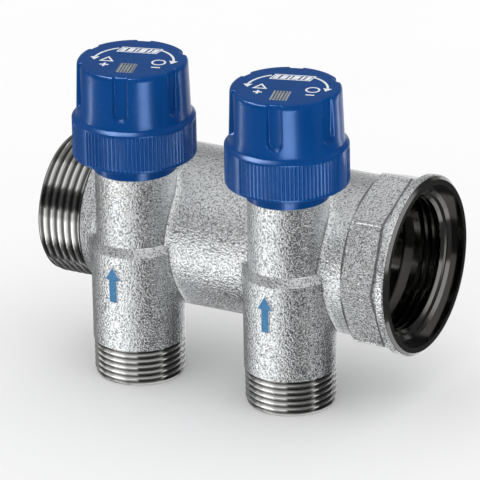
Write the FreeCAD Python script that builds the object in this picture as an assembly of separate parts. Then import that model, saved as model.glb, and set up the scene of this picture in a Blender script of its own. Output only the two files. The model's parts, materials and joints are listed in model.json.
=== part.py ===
"""Two-outlet heating manifold with a hand-operated shut-off valve over each outlet.

A cast bar carries the main flow along X, from a male thread at -X to a female thread at +X.
Each outlet is a vertical tower in front of the bar (-Y).  Water enters the tower from below,
passes a seat, and reaches the bar's bore through a window in the tower's chamber.  A
non-rising stem turned by the handwheel lifts a non-turning plug off that seat.

Millimetres.  +Z is up, +X runs along the bar, and the origin lies on the bar's axis, midway
between the two towers.
"""
import FreeCAD, Part
import math
import os

from FreeCAD import Vector

# ---------------------------------------------------------------- threads
# British Standard Pipe parallel threads, 55 degree flanks.
main_thread_radius = 20.955       # G 1 1/4, major radius
main_thread_pitch = 2.309
outlet_thread_radius = 13.2205    # G 3/4, major radius
outlet_thread_pitch = 1.814
thread_flank_angle = 27.5         # degrees, half of the included angle
thread_depth_share = 0.640327     # thread depth as a share of its pitch
thread_crest_share = 1.0 / 6.0    # flat crest as a share of the pitch
thread_cut_margin = 0.15          # how far a cutter starts outside the metal

# ---------------------------------------------------------------- bar
outlet_spacing = 50.0             # centre to centre
outlet_count = 2
male_wall = 2.98                  # metal between the male thread's root and the bore
bar_wall = 7.1
male_thread_length = 14.8
male_lead_chamfer = 1.1
relief_width = 0.7                # thread relief beside each shoulder
neck_length = 4.65                # cast neck between the male thread and the first tower
neck_radius_step = 0.45           # neck radius over the thread's major radius
collar_gap = 5.65                 # bare bar between the last tower and the octagon
counterbore_step = 2.845          # counterbore radius over the thread's major radius
flats_wall = 0.7                  # octagon flats outside the counterbore
octagon_length = 12.5
octagon_sides = 8
octagon_corner_chamfer = 1.4      # along X, over the octagon's full corner height
rim_wall = 2.8                    # rim outside the counterbore
rim_length = 3.0
rim_chamfer = 1.2
rim_ramp_length = 1.6             # cone that blends each flat into the rim
counterbore_depth = 3.0
female_thread_length = 11.0
female_relief_length = 2.2
female_mouth_chamfer = 0.9

# ---------------------------------------------------------------- towers
port_overlap = 5.5                # how far a chamber reaches into the bar's bore
chamber_radius = 8.4
chamber_wall = 3.4
outlet_shoulder = 0.25            # lower tower's radius over the outlet thread
outlet_drop = 16.9                # from the bar's lowest line down to the outlets' ends
outlet_thread_length = 11.0
outlet_lead_chamfer = 0.9
step_z = -0.3                     # top of the wide lower tower
step_height = 2.5
tower_top_drop = 0.5              # towers' tops below the bar's highest line
outlet_wall = 3.05                # metal between the outlet thread's root and its socket
socket_depth = 8.5
socket_cone_angle = 15.0          # degrees, half angle of the cone seal
seat_cover = 1.3                  # how far the plug reaches past the passage
seat_floor_z = -12.5
seat_lip_height = 0.6
seat_lip_width = 0.8

# ---------------------------------------------------------------- arrow on each tower
arrow_azimuth = -3.0              # degrees about the tower, 0 faces -Y
arrow_tip_z = -3.2
arrow_length = 11.3
arrow_head_length = 4.4
arrow_head_width = 5.6
arrow_shaft_width = 2.6
arrow_height = 0.3

# ---------------------------------------------------------------- small edges
edge_chamfer = 0.4                # broken edges of turned and moulded pieces
weld_overlap = 0.5                # how far joined shapes run into each other
cut_margin = 1.0                  # how far a cutter runs past the metal

# ---------------------------------------------------------------- valve insert
bonnet_thread_step = 0.6          # screwed thread outside the chamber: M18 x 1
bonnet_thread_length = 8.4
bonnet_flange_lap = 0.8           # flange past the seal ring's groove
bonnet_flange_height = 1.2
bonnet_hex_height = 5.2
bonnet_hex_chamfer = 1.6
bonnet_neck_rim = 0.4             # bonnet's neck outside the slip washer
bonnet_neck_height = 2.7
cage_length = 10.5                # guide's length below the thrust shoulder
cage_wall = 1.15                  # metal outside the guide hexagon's corners
thrust_shoulder_depth = 11.6      # below the tower's top
o_ring_section = 1.56             # bonnet seal
o_ring_groove_step = 0.6          # groove's floor inside the bonnet's thread
o_ring_space = 0.12               # free play round an uncompressed ring

stem_radius = 4.0
stem_collar_height = 2.1
stem_square_inset = 0.04          # square drive's corners inside the stem's radius
stem_square_length = 13.2
stem_ring_section = 1.0
stem_ring_groove_depth = 1.1
stem_ring_groove_width = 1.5
stem_ring_heights = (4.5, 9.0)    # above the thrust shoulder
washer_width = 2.6
washer_thickness = 0.5
circlip_width = 1.6               # outside the stem
circlip_thickness = 0.7
circlip_groove_depth = 0.8
circlip_gap = 2.4

plug_lift = 3.75                  # full travel of the plug
plug_play = 0.6                   # round the plug in its chamber
plug_flange = 2.0
plug_lip_height = 1.5
plug_lip_width = 0.35
plug_floor = 1.4                  # metal left under the plug's threaded bore, above the flange
seal_thickness = 2.5
seal_screw_head_radius = 3.0
seal_screw_head_height = 1.2
seal_screw_radius = 1.5
seal_screw_length = 3.0
seal_screw_slot = 0.8

# ---------------------------------------------------------------- handwheel
handwheel_height = 28.8
skirt_radius = 18.0
skirt_height = 11.4
skirt_wall = 1.8
skirt_chamfer_height = 1.6
skirt_roof = 1.0                  # wall between the skirt's hollow and its chamfer
drum_step = 1.35                  # drum's foot inside the skirt
drum_draft = 0.6                  # how much the drum narrows towards its top
drum_wall = 2.6
handwheel_roof = 2.2
drum_top_round = 1.1
flute_count = 6
flute_width = 4.7
flute_depth = 1.2
flute_foot_rise = 3.2             # above the skirt
flute_azimuth = 16.0              # degrees, 0 faces -Y, towards +X
rib_sector_count = 3
rib_sector_azimuth = 33.0
rib_sector_angle = 95.0
ribs_per_sector = 24
rib_depth = 0.32
rib_band_margin = 0.9
hub_wall = 2.0                    # outside the square's corners
hub_foot_gap = 0.45               # from the square's foot to the hub
web_thickness = 1.2
web_depth = 9.8
web_count = 6
clip_groove_rise = 1.4            # above the hub's foot
clip_thickness = 0.9
clip_width = 1.1
clip_groove_depth = 0.5
plate_width = 5.0
plate_length = 7.2
plate_thickness = 0.7
plate_distance = 7.5              # from the stem's axis to the plate's centre
plate_frame = 0.7
plate_relief = 0.2

# ---------------------------------------------------------------- base collar
collar_band = 4.8                 # from the tower's top to the handwheel's skirt
collar_play = 0.15                # round the bonnet's flange
collar_wall = 1.0
collar_flange_height = 1.2
collar_tab_azimuth = 36.5
collar_tab_width = 2.5
collar_tab_height = 1.8
collar_tab_rise = 1.2             # from the collar's lower edge to the tab
collar_tab_proud = 0.35

# ---------------------------------------------------------------- clearances
static_clearance = 0.05           # screwed or pushed together
running_clearance = 0.06          # stem in its bonnet
sliding_clearance = 0.15          # plug in its guide
axial_clearance = 0.1
rotor_clearance = 0.3             # handwheel past what stands still
seat_clearance = 0.05

# ---------------------------------------------------------------- derived
main_thread_depth = thread_depth_share * main_thread_pitch
outlet_thread_depth = thread_depth_share * outlet_thread_pitch
main_root_radius = main_thread_radius - main_thread_depth
outlet_root_radius = outlet_thread_radius - outlet_thread_depth
bore_radius = main_root_radius - male_wall
bar_radius = bore_radius + bar_wall
counterbore_radius = main_thread_radius + counterbore_step
rim_radius = counterbore_radius + rim_wall
octagon_across_flats = 2.0 * (counterbore_radius + flats_wall)
octagon_corner_radius = octagon_across_flats / 2.0 / math.cos(math.pi / octagon_sides)

tower_top_z = bar_radius - tower_top_drop
outlet_end_z = -bar_radius - outlet_drop
upper_tower_radius = chamber_radius + chamber_wall
lower_tower_radius = outlet_thread_radius + outlet_shoulder
tower_offset = bore_radius + chamber_radius - port_overlap
tower_xs = [(i - (outlet_count - 1) / 2.0) * outlet_spacing for i in range(outlet_count)]
socket_radius = outlet_root_radius - outlet_wall
plug_radius = chamber_radius - plug_play
passage_radius = plug_radius - seat_cover

neck_radius = main_thread_radius + neck_radius_step
neck_x = tower_xs[0] - lower_tower_radius - neck_length
male_end_x = neck_x - male_thread_length
octagon_x = tower_xs[-1] + lower_tower_radius + collar_gap
rim_x = octagon_x + octagon_length
female_end_x = rim_x + rim_length
female_thread_mouth_x = female_end_x - counterbore_depth
female_thread_foot_x = female_thread_mouth_x - female_thread_length

bonnet_thread_radius = chamber_radius + bonnet_thread_step
o_ring_groove_radius = bonnet_thread_radius - o_ring_groove_step
o_ring_pocket_radius = o_ring_groove_radius + o_ring_section + 2.0 * o_ring_space
bonnet_flange_radius = o_ring_pocket_radius + bonnet_flange_lap
bonnet_hex_flats = 2.0 * bonnet_flange_radius * math.cos(math.pi / 6.0)
washer_radius = stem_radius + washer_width
bonnet_neck_radius = washer_radius + bonnet_neck_rim
hex_top_z = tower_top_z + bonnet_hex_height
bonnet_top_z = hex_top_z + bonnet_neck_height
bonnet_thread_foot_z = tower_top_z - o_ring_section - bonnet_thread_length
thrust_shoulder_z = tower_top_z - thrust_shoulder_depth
cage_bottom_z = thrust_shoulder_z - cage_length
cage_radius = chamber_radius - sliding_clearance
guide_socket_flats = 2.0 * (cage_radius - cage_wall) * math.cos(math.pi / 6.0)
guide_flats = guide_socket_flats - 2.0 * sliding_clearance

seat_z = seat_floor_z + seat_lip_height
seal_bottom_z = seat_z + seat_clearance
seal_top_z = seal_bottom_z + seal_thickness
plug_flange_top_z = seal_top_z + plug_flange
plug_bore_floor_z = plug_flange_top_z + plug_floor
stem_collar_radius = guide_socket_flats / 2.0 - rotor_clearance
stem_collar_bottom_z = thrust_shoulder_z - axial_clearance - stem_collar_height
plug_top_z = stem_collar_bottom_z - rotor_clearance - plug_lift
stem_foot_z = plug_bore_floor_z + plug_lift + rotor_clearance
stem_square = math.sqrt(2.0) * (stem_radius - stem_square_inset)
stem_ring_groove_radius = stem_radius - stem_ring_groove_depth
circlip_groove_radius = stem_radius - circlip_groove_depth
circlip_radius = stem_radius + circlip_width
washer_z = bonnet_top_z + static_clearance
circlip_z = washer_z + washer_thickness + axial_clearance
stem_square_z = circlip_z + circlip_thickness + static_clearance + weld_overlap
stem_top_z = stem_square_z + stem_square_length

skirt_bottom_z = tower_top_z + collar_band
skirt_top_z = skirt_bottom_z + skirt_height
handwheel_top_z = skirt_bottom_z + handwheel_height
flute_foot_z = skirt_top_z + flute_foot_rise
drum_radius = skirt_radius - drum_step
drum_top_radius = drum_radius - drum_draft
roof_z = handwheel_top_z - handwheel_roof
hub_radius = stem_radius + hub_wall
hub_bottom_z = stem_square_z + hub_foot_gap
web_bottom_z = roof_z - web_depth
clip_groove_z = hub_bottom_z + clip_groove_rise
plate_pocket_depth = plate_thickness + 2.0 * static_clearance
collar_bottom_z = tower_top_z + rotor_clearance
collar_flange_z = skirt_bottom_z + rotor_clearance
collar_radius = bonnet_flange_radius + collar_play + collar_wall

AXIS_X = Vector(1, 0, 0)
AXIS_Z = Vector(0, 0, 1)


# ================================================================ shapes used by many pieces
def revolved(points, axis=AXIS_Z):
    """Solid of revolution from (radius, height) points, about Z, or about X when asked."""
    if axis == AXIS_Z:
        corners = [Vector(r, 0, h) for r, h in points]
    else:
        corners = [Vector(h, 0, r) for r, h in points]
    face = Part.Face(Part.makePolygon(corners + corners[:1]))
    return face.revolve(Vector(0, 0, 0), axis, 360)


def cylinder(radius, low, high, axis=AXIS_Z):
    """Cylinder on the frame's Z axis, or X axis, between two heights."""
    start = Vector(axis).multiply(low)
    return Part.makeCylinder(radius, high - low, start, axis)


def ring(inner, outer, low, high, axis=AXIS_Z):
    """Flat-ended ring between two radii."""
    return cylinder(outer, low, high, axis).cut(cylinder(inner, low - 1, high + 1, axis))


def torus(centre_radius, section, height):
    """Round ring of circular section."""
    return Part.makeTorus(centre_radius, section / 2.0, Vector(0, 0, height), AXIS_Z)


def prism(sides, across_flats, low, high, turn=0.0, axis=AXIS_Z):
    """Regular prism; turn is where its first corner points, in degrees."""
    radius = across_flats / 2.0 / math.cos(math.pi / sides)
    corners = []
    for i in range(sides):
        a = math.radians(turn) + 2.0 * math.pi * i / sides
        if axis == AXIS_Z:
            corners.append(Vector(radius * math.cos(a), radius * math.sin(a), low))
        else:
            corners.append(Vector(low, radius * math.cos(a), radius * math.sin(a)))
    face = Part.Face(Part.makePolygon(corners + corners[:1]))
    return face.extrude(Vector(axis).multiply(high - low))


def block(centre, size):
    """Box given by its centre and its three sides."""
    corner = Vector(*[c - s / 2.0 for c, s in zip(centre, size)])
    return Part.makeBox(size[0], size[1], size[2], corner)


def turned(shape, azimuth):
    """Copy turned about Z so that what faced -Y faces this azimuth, towards +X."""
    copy = shape.copy()
    copy.rotate(Vector(0, 0, 0), AXIS_Z, azimuth)
    return copy


def at_tower(shape, x):
    """Copy carried from the frame's Z axis to the tower at x."""
    copy = shape.copy()
    copy.translate(Vector(x, -tower_offset, 0))
    return copy


def thread_grooves(pitch, crest_radius, root_radius, low, high, axis):
    """Ring grooves at a thread's pitch and section, cut between two positions on the axis.
    They cut inwards for an outside thread, outwards when root_radius is the larger."""
    outwards = 1.0 if root_radius > crest_radius else -1.0
    start_radius = crest_radius - outwards * thread_cut_margin
    half_root = pitch * thread_crest_share / 2.0
    slope = math.tan(math.radians(thread_flank_angle))
    half_mouth = half_root + abs(root_radius - start_radius) * slope
    count = int((high - low - 2.0 * half_mouth) / pitch) + 1
    grooves = []
    for i in range(count):
        middle = high - half_mouth - i * pitch
        grooves.append(revolved([
            (start_radius, middle - half_mouth),
            (start_radius, middle + half_mouth),
            (root_radius, middle + half_root),
            (root_radius, middle - half_root),
        ], axis))
    return grooves


# ================================================================ manifold body
def bar_outside():
    """Turned and cast outside of the bar, with its octagonal collar and round rim."""
    relief = main_root_radius
    outline = [
        (0.0, male_end_x),
        (main_thread_radius - male_lead_chamfer, male_end_x),
        (main_thread_radius, male_end_x + male_lead_chamfer),
        (main_thread_radius, neck_x - relief_width),
        (relief, neck_x - relief_width),
        (relief, neck_x),
        (neck_radius, neck_x),
        (bar_radius, neck_x + neck_length + neck_radius_step),
        (bar_radius, octagon_x + octagon_length / 2.0),
        (0.0, octagon_x + octagon_length / 2.0),
    ]
    bar = revolved(outline, AXIS_X)
    flats = prism(octagon_sides, octagon_across_flats, octagon_x, rim_x, 0.0, AXIS_X)
    corner_cone = revolved([
        (0.0, octagon_x),
        (octagon_across_flats / 2.0, octagon_x),
        (octagon_corner_radius + 0.01, octagon_x + octagon_corner_chamfer),
        (octagon_corner_radius + 0.01, rim_x),
        (0.0, rim_x),
    ], AXIS_X)
    flats = flats.common(corner_cone)
    ramp_radius = octagon_across_flats / 2.0 - 0.2
    rim = revolved([
        (0.0, rim_x - rim_ramp_length),
        (ramp_radius, rim_x - rim_ramp_length),
        (rim_radius, rim_x),
        (rim_radius, female_end_x - rim_chamfer),
        (rim_radius - rim_chamfer, female_end_x),
        (0.0, female_end_x),
    ], AXIS_X)
    return bar.fuse([flats, rim])


def tower_outside():
    """Outside of one tower, on the frame's Z axis."""
    return revolved([
        (0.0, outlet_end_z),
        (outlet_thread_radius - outlet_lead_chamfer, outlet_end_z),
        (outlet_thread_radius, outlet_end_z + outlet_lead_chamfer),
        (outlet_thread_radius, outlet_end_z + outlet_thread_length),
        (lower_tower_radius, outlet_end_z + outlet_thread_length),
        (lower_tower_radius, step_z),
        (upper_tower_radius, step_z + step_height),
        (upper_tower_radius, tower_top_z),
        (0.0, tower_top_z),
    ])


def tower_inside():
    """Everything cut out of one tower: socket, cone, passage, chamber and bonnet seat."""
    cone_top_z = (outlet_end_z + socket_depth
                  + (socket_radius - passage_radius) / math.tan(math.radians(socket_cone_angle)))
    water = revolved([
        (0.0, outlet_end_z - 1),
        (socket_radius, outlet_end_z - 1),
        (socket_radius, outlet_end_z + socket_depth),
        (passage_radius, cone_top_z),
        (passage_radius, seat_z),
        (passage_radius + seat_lip_width, seat_z),
        (passage_radius + seat_lip_width, seat_floor_z),
        (chamber_radius, seat_floor_z),
        (chamber_radius, bonnet_thread_foot_z - static_clearance),
        (bonnet_thread_radius, bonnet_thread_foot_z - static_clearance),
        (bonnet_thread_radius, tower_top_z - o_ring_section),
        (o_ring_pocket_radius, tower_top_z - o_ring_section),
        (o_ring_pocket_radius, tower_top_z + 1),
        (0.0, tower_top_z + 1),
    ])
    return water


def bar_inside():
    """The bar's bore, the female thread's minor bore, its relief and its counterbore."""
    relief_radius = main_thread_radius + static_clearance
    mouth = main_thread_radius + female_mouth_chamfer
    return revolved([
        (0.0, male_end_x - 1),
        (bore_radius, male_end_x - 1),
        (bore_radius, female_thread_foot_x - female_relief_length),
        (relief_radius, female_thread_foot_x - female_relief_length),
        (relief_radius, female_thread_foot_x),
        (main_root_radius, female_thread_foot_x),
        (main_root_radius, female_thread_mouth_x - (mouth - main_root_radius)),
        (mouth, female_thread_mouth_x),
        (counterbore_radius, female_thread_mouth_x),
        (counterbore_radius, female_end_x + 1),
        (0.0, female_end_x + 1),
    ], AXIS_X)


def arrow_relief():
    """Raised flow arrow on the front of a tower, pointing up."""
    tail_z = arrow_tip_z - arrow_length
    head_z = arrow_tip_z - arrow_head_length
    outline = [
        (0.0, arrow_tip_z),
        (arrow_head_width / 2.0, head_z),
        (arrow_shaft_width / 2.0, head_z),
        (arrow_shaft_width / 2.0, tail_z),
        (-arrow_shaft_width / 2.0, tail_z),
        (-arrow_shaft_width / 2.0, head_z),
        (-arrow_head_width / 2.0, head_z),
    ]
    corners = [Vector(x, 0, z) for x, z in outline]
    slab = Part.Face(Part.makePolygon(corners + corners[:1]))
    slab = slab.extrude(Vector(0, -(lower_tower_radius + 2 * arrow_height), 0))
    skin = ring(lower_tower_radius - arrow_height, lower_tower_radius + arrow_height,
                tail_z - 1, arrow_tip_z + 1)
    return turned(slab.common(skin), arrow_azimuth)


def manifold_bar():
    """Bar of the casting, with both its end threads and the two saddles that hold the towers."""
    grooves = thread_grooves(
        main_thread_pitch, main_thread_radius, main_root_radius,
        male_end_x - main_thread_pitch, neck_x - relief_width, AXIS_X)
    grooves += thread_grooves(
        main_thread_pitch, main_root_radius, main_thread_radius,
        female_thread_foot_x, female_thread_mouth_x, AXIS_X)
    saddles = [at_tower(tower_outside(), x) for x in tower_xs]
    return bar_outside().cut([bar_inside()] + saddles).cut(grooves)


def manifold_tower():
    """One tower of the casting, round through the bar's wall and open into its bore."""
    reach = 2.0 * lower_tower_radius
    bore = cylinder(bore_radius, -reach, reach, AXIS_X)
    bore.translate(Vector(0, tower_offset, 0))
    grooves = thread_grooves(
        outlet_thread_pitch, outlet_thread_radius, outlet_root_radius,
        outlet_end_z - outlet_thread_pitch, outlet_end_z + outlet_thread_length, AXIS_Z)
    return tower_outside().fuse(arrow_relief()).cut([tower_inside(), bore]).cut(grooves)


# ================================================================ valve insert
def bonnet():
    """Brass headwork screwed into the tower; its lower cage guides the plug."""
    thread_radius = bonnet_thread_radius - static_clearance
    outside = revolved([
        (0.0, cage_bottom_z),
        (cage_radius, cage_bottom_z),
        (cage_radius, bonnet_thread_foot_z),
        (thread_radius, bonnet_thread_foot_z),
        (thread_radius, tower_top_z - o_ring_section),
        (o_ring_groove_radius, tower_top_z - o_ring_section),
        (o_ring_groove_radius, tower_top_z),
        (bonnet_flange_radius, tower_top_z),
        (bonnet_flange_radius, tower_top_z + bonnet_flange_height),
        (bonnet_neck_radius, tower_top_z + bonnet_flange_height),
        (bonnet_neck_radius, bonnet_top_z),
        (0.0, bonnet_top_z),
    ])
    hexagon = prism(6, bonnet_hex_flats, tower_top_z, hex_top_z, 30.0)
    crown = revolved([
        (0.0, tower_top_z),
        (bonnet_hex_flats, tower_top_z),
        (bonnet_hex_flats, hex_top_z - bonnet_hex_chamfer),
        (bonnet_hex_flats / 2.0 - edge_chamfer, hex_top_z),
        (0.0, hex_top_z),
    ])
    guide = prism(6, guide_socket_flats, cage_bottom_z - 1, thrust_shoulder_z, 30.0)
    journal = cylinder(stem_radius + running_clearance, thrust_shoulder_z - 1, bonnet_top_z + 1)
    return outside.fuse(hexagon.common(crown)).cut([guide, journal]).removeSplitter()


def bonnet_o_ring():
    """Seal between the bonnet's flange and the tower's mouth."""
    centre = o_ring_groove_radius + o_ring_space + o_ring_section / 2.0
    return torus(centre, o_ring_section - 2 * static_clearance,
                 tower_top_z - o_ring_section / 2.0)


def stem():
    """Non-rising stem: screw tail, thrust collar, two seal grooves, clip groove, square."""
    points = [
        (0.0, stem_foot_z),
        (stem_radius - edge_chamfer, stem_foot_z),
        (stem_radius, stem_foot_z + edge_chamfer),
        (stem_radius, stem_collar_bottom_z),
        (stem_collar_radius, stem_collar_bottom_z),
        (stem_collar_radius, stem_collar_bottom_z + stem_collar_height),
        (stem_radius, stem_collar_bottom_z + stem_collar_height),
    ]
    for height in stem_ring_heights:
        level = thrust_shoulder_z + height
        half = stem_ring_groove_width / 2.0
        points += [
            (stem_radius, level - half),
            (stem_ring_groove_radius, level - half),
            (stem_ring_groove_radius, level + half),
            (stem_radius, level + half),
        ]
    points += [
        (stem_radius, circlip_z - static_clearance),
        (circlip_groove_radius, circlip_z - static_clearance),
        (circlip_groove_radius, circlip_z + circlip_thickness + static_clearance),
        (stem_radius, circlip_z + circlip_thickness + static_clearance),
        (stem_radius, stem_square_z),
        (0.0, stem_square_z),
    ]
    square = prism(4, stem_square, stem_square_z - weld_overlap, stem_top_z, 45.0)
    tip = revolved([
        (0.0, stem_square_z - weld_overlap),
        (stem_radius, stem_square_z - weld_overlap),
        (stem_radius, stem_top_z - 2.0 * edge_chamfer),
        (stem_radius - 2.0 * edge_chamfer, stem_top_z),
        (0.0, stem_top_z),
    ])
    return revolved(points).fuse(square.common(tip)).removeSplitter()


def stem_o_rings():
    """The stem's two seals, each in its groove."""
    centre = stem_ring_groove_radius + static_clearance / 2.0 + stem_ring_section / 2.0
    return [torus(centre, stem_ring_section, thrust_shoulder_z + height)
            for height in stem_ring_heights]


def stem_washer():
    """Slip washer between the bonnet's top and the circlip."""
    return ring(stem_radius + running_clearance, washer_radius,
                washer_z, washer_z + washer_thickness)


def open_ring(inner, outer, low, high, gap):
    """Spring ring with an opening towards -Y."""
    mouth = block((0, -outer, (low + high) / 2.0), (gap, 2 * outer, 2 * (high - low)))
    return ring(inner, outer, low, high).cut(mouth)


def stem_circlip():
    """Clip that stops the stem from dropping into the bonnet."""
    return open_ring(circlip_groove_radius + static_clearance, circlip_radius,
                     circlip_z, circlip_z + circlip_thickness, circlip_gap)


def plug():
    """Non-turning plug: hexagonal shank with a threaded bore, and a cup for the seal."""
    shank = prism(6, guide_flats, plug_flange_top_z - weld_overlap, plug_top_z, 30.0)
    flange = cylinder(plug_radius, seal_top_z, plug_flange_top_z)
    lip = ring(plug_radius - plug_lip_width, plug_radius,
               seal_top_z - plug_lip_height, seal_top_z)
    bore = cylinder(stem_radius + running_clearance, plug_bore_floor_z, plug_top_z + 1)
    pilot = cylinder(seal_screw_radius + static_clearance, seal_top_z - 1,
                     seal_top_z + seal_screw_length + static_clearance)
    return shank.fuse([flange, lip]).cut([bore, pilot]).removeSplitter()


def seal_disc():
    """Rubber disc that closes on the seat."""
    return ring(seal_screw_radius + static_clearance,
                plug_radius - plug_lip_width - static_clearance, seal_bottom_z, seal_top_z)


def seal_screw():
    """Slotted screw that holds the seal disc in the plug."""
    head_z = seal_bottom_z - seal_screw_head_height
    body = revolved([
        (0.0, head_z),
        (seal_screw_head_radius - edge_chamfer, head_z),
        (seal_screw_head_radius, head_z + edge_chamfer),
        (seal_screw_head_radius, seal_bottom_z),
        (seal_screw_radius, seal_bottom_z),
        (seal_screw_radius, seal_top_z + seal_screw_length),
        (0.0, seal_top_z + seal_screw_length),
    ])
    slot = block((0, 0, head_z), (seal_screw_slot, 3 * seal_screw_head_radius,
                                  seal_screw_head_height))
    return body.cut(slot)


# ================================================================ handwheel
def flute_cutter():
    """Ball-ended groove cutter in front of the drum, open at the drum's top."""
    half = flute_width / 2.0
    surface = math.sqrt(drum_top_radius ** 2 - half ** 2)
    sink = flute_depth - (drum_top_radius - surface)
    radius = (half ** 2 + sink ** 2) / (2.0 * sink)
    centre_y = -(drum_top_radius - flute_depth + radius)
    rise = math.sqrt(radius ** 2 - (radius - flute_depth) ** 2)
    centre_z = flute_foot_z + rise
    shaft = Part.makeCylinder(radius, handwheel_top_z + 1 - centre_z,
                              Vector(0, centre_y, centre_z), AXIS_Z)
    ball = Part.makeSphere(radius, Vector(0, centre_y, centre_z))
    return shaft.fuse(ball).removeSplitter()


def rib_cutter():
    """All the fine V grooves round the skirt, as one fan of small wedges."""
    low = skirt_bottom_z + rib_band_margin
    high = skirt_top_z - rib_band_margin / 2.0
    pitch = rib_sector_angle / ribs_per_sector
    half = math.radians(pitch) * skirt_radius * 0.36
    corners = [
        Vector(-half, -(skirt_radius + 0.05), low),
        Vector(half, -(skirt_radius + 0.05), low),
        Vector(0, -(skirt_radius - rib_depth), low),
    ]
    wedge = Part.Face(Part.makePolygon(corners + corners[:1])).extrude(Vector(0, 0, high - low))
    wedges = []
    for sector in range(rib_sector_count):
        middle = rib_sector_azimuth + sector * 360.0 / rib_sector_count
        for i in range(ribs_per_sector):
            offset = (i + 0.5) * pitch - rib_sector_angle / 2.0
            wedges.append(turned(wedge, middle + offset))
    return wedges


def handwheel():
    """Hollow moulded handwheel: fluted drum, ribbed skirt, hub, webs and plate pocket."""
    skirt_inside = skirt_radius - skirt_wall
    drum_inside = drum_radius - drum_wall
    step_z_inside = skirt_top_z - skirt_roof
    shell = revolved([
        (skirt_inside, skirt_bottom_z),
        (skirt_radius - edge_chamfer, skirt_bottom_z),
        (skirt_radius, skirt_bottom_z + edge_chamfer),
        (skirt_radius, skirt_top_z),
        (drum_radius, skirt_top_z + skirt_chamfer_height),
        (drum_top_radius, handwheel_top_z),
        (0.0, handwheel_top_z),
        (0.0, roof_z),
        (drum_inside, roof_z),
        (drum_inside, step_z_inside + (skirt_inside - drum_inside)),
        (skirt_inside, step_z_inside),
    ])
    rounded = [e for e in shell.Edges
               if all(abs(p.z - handwheel_top_z) < 1e-6 for p in e.discretize(5))
               and abs(math.hypot(e.discretize(5)[0].x, e.discretize(5)[0].y)
                       - drum_top_radius) < 1e-6]
    shell = shell.makeFillet(drum_top_round, rounded)
    parts = [cylinder(hub_radius, hub_bottom_z, roof_z + weld_overlap)]
    web_top_z = roof_z + weld_overlap
    web = block((0, -(drum_inside + hub_radius) / 2.0, (web_bottom_z + web_top_z) / 2.0),
                (web_thickness, drum_inside - hub_radius + 2.0 * weld_overlap,
                 web_top_z - web_bottom_z))
    for i in range(web_count):
        parts.append(turned(web, flute_azimuth + (i + 0.5) * 360.0 / web_count))
    wheel = shell.fuse(parts)
    socket = prism(4, stem_square + 2 * static_clearance, hub_bottom_z - 1,
                   stem_top_z + rotor_clearance, 45.0)
    groove = ring(hub_radius - clip_groove_depth, hub_radius + 1, clip_groove_z,
                  clip_groove_z + clip_thickness)
    pocket = block((0, -plate_distance, handwheel_top_z - plate_pocket_depth / 2.0 + 0.5),
                   (plate_width + 2 * static_clearance, plate_length + 2 * static_clearance,
                    plate_pocket_depth + 1.0))
    cutters = [socket, groove, turned(pocket, flute_azimuth)]
    for i in range(flute_count):
        cutters.append(turned(flute_cutter(), flute_azimuth + i * 360.0 / flute_count))
    return wheel.cut(cutters).cut(rib_cutter())


def index_plate():
    """Grey plate let into the handwheel's top, with a raised frame and a raised middle."""
    bottom = handwheel_top_z - plate_pocket_depth + static_clearance
    middle = (0, -plate_distance, bottom + plate_thickness / 2.0)
    plate = block(middle, (plate_width, plate_length, plate_thickness))
    sunk = block((0, -plate_distance, bottom + plate_thickness),
                 (plate_width - 2 * plate_frame, plate_length - 2 * plate_frame,
                  2 * plate_relief))
    island = block((0, -plate_distance, bottom + plate_thickness),
                   (plate_width - 4 * plate_frame, plate_length - 4 * plate_frame,
                    2 * plate_relief))
    return turned(plate.cut(sunk.cut(island)), flute_azimuth)


def hub_clip():
    """Spring ring that squeezes the hub on to the stem's square."""
    inner = hub_radius - clip_groove_depth + static_clearance
    return open_ring(inner, inner + clip_width, clip_groove_z + static_clearance,
                     clip_groove_z + clip_thickness - static_clearance, circlip_gap)


def base_collar():
    """Fixed collar over the bonnet's hexagon; its flange closes the handwheel from below."""
    inside = collar_radius - collar_wall
    flange_radius = skirt_radius - skirt_wall - rotor_clearance
    top = collar_flange_z + collar_flange_height
    shell = revolved([
        (inside, collar_bottom_z),
        (collar_radius, collar_bottom_z),
        (collar_radius, collar_flange_z),
        (flange_radius, collar_flange_z),
        (flange_radius, top),
        (bonnet_neck_radius + static_clearance, top),
        (bonnet_neck_radius + static_clearance, hex_top_z),
        (inside, hex_top_z),
    ])
    tab_z = collar_bottom_z + collar_tab_rise + collar_tab_height / 2.0
    slab = block((0, -collar_radius, tab_z), (collar_tab_width, 2.0, collar_tab_height))
    skin = ring(collar_radius - 0.2, collar_radius + collar_tab_proud,
                collar_bottom_z, collar_flange_z)
    tab = turned(slab.common(skin), collar_tab_azimuth)
    return shell.fuse(tab).removeSplitter()


# ================================================================ export
def save(name, shape):
    """Write one node as STEP, as a compound when it holds several solids."""
    solids = []
    for item in shape if isinstance(shape, list) else [shape]:
        solids += item.Solids
    if not solids or not all(s.isValid() and s.Volume > 0 for s in solids):
        raise SystemExit("node %s is not made of valid solids" % name)
    whole = solids[0] if len(solids) == 1 else Part.makeCompound(solids)
    whole.exportStep(os.path.join("parts", name + ".step"))
    print("%-20s %d solid(s) %10.2f mm3" % (name, len(solids), sum(s.Volume for s in solids)))


TOWER_PIECES = [
    ("manifold_tower", manifold_tower),
    ("bonnet", bonnet),
    ("bonnet_o_ring", bonnet_o_ring),
    ("stem", stem),
    ("stem_o_rings", stem_o_rings),
    ("stem_washer", stem_washer),
    ("stem_circlip", stem_circlip),
    ("plug", plug),
    ("seal_disc", seal_disc),
    ("seal_screw", seal_screw),
    ("handwheel", handwheel),
    ("hub_clip", hub_clip),
    ("index_plate", index_plate),
    ("base_collar", base_collar),
]


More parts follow.
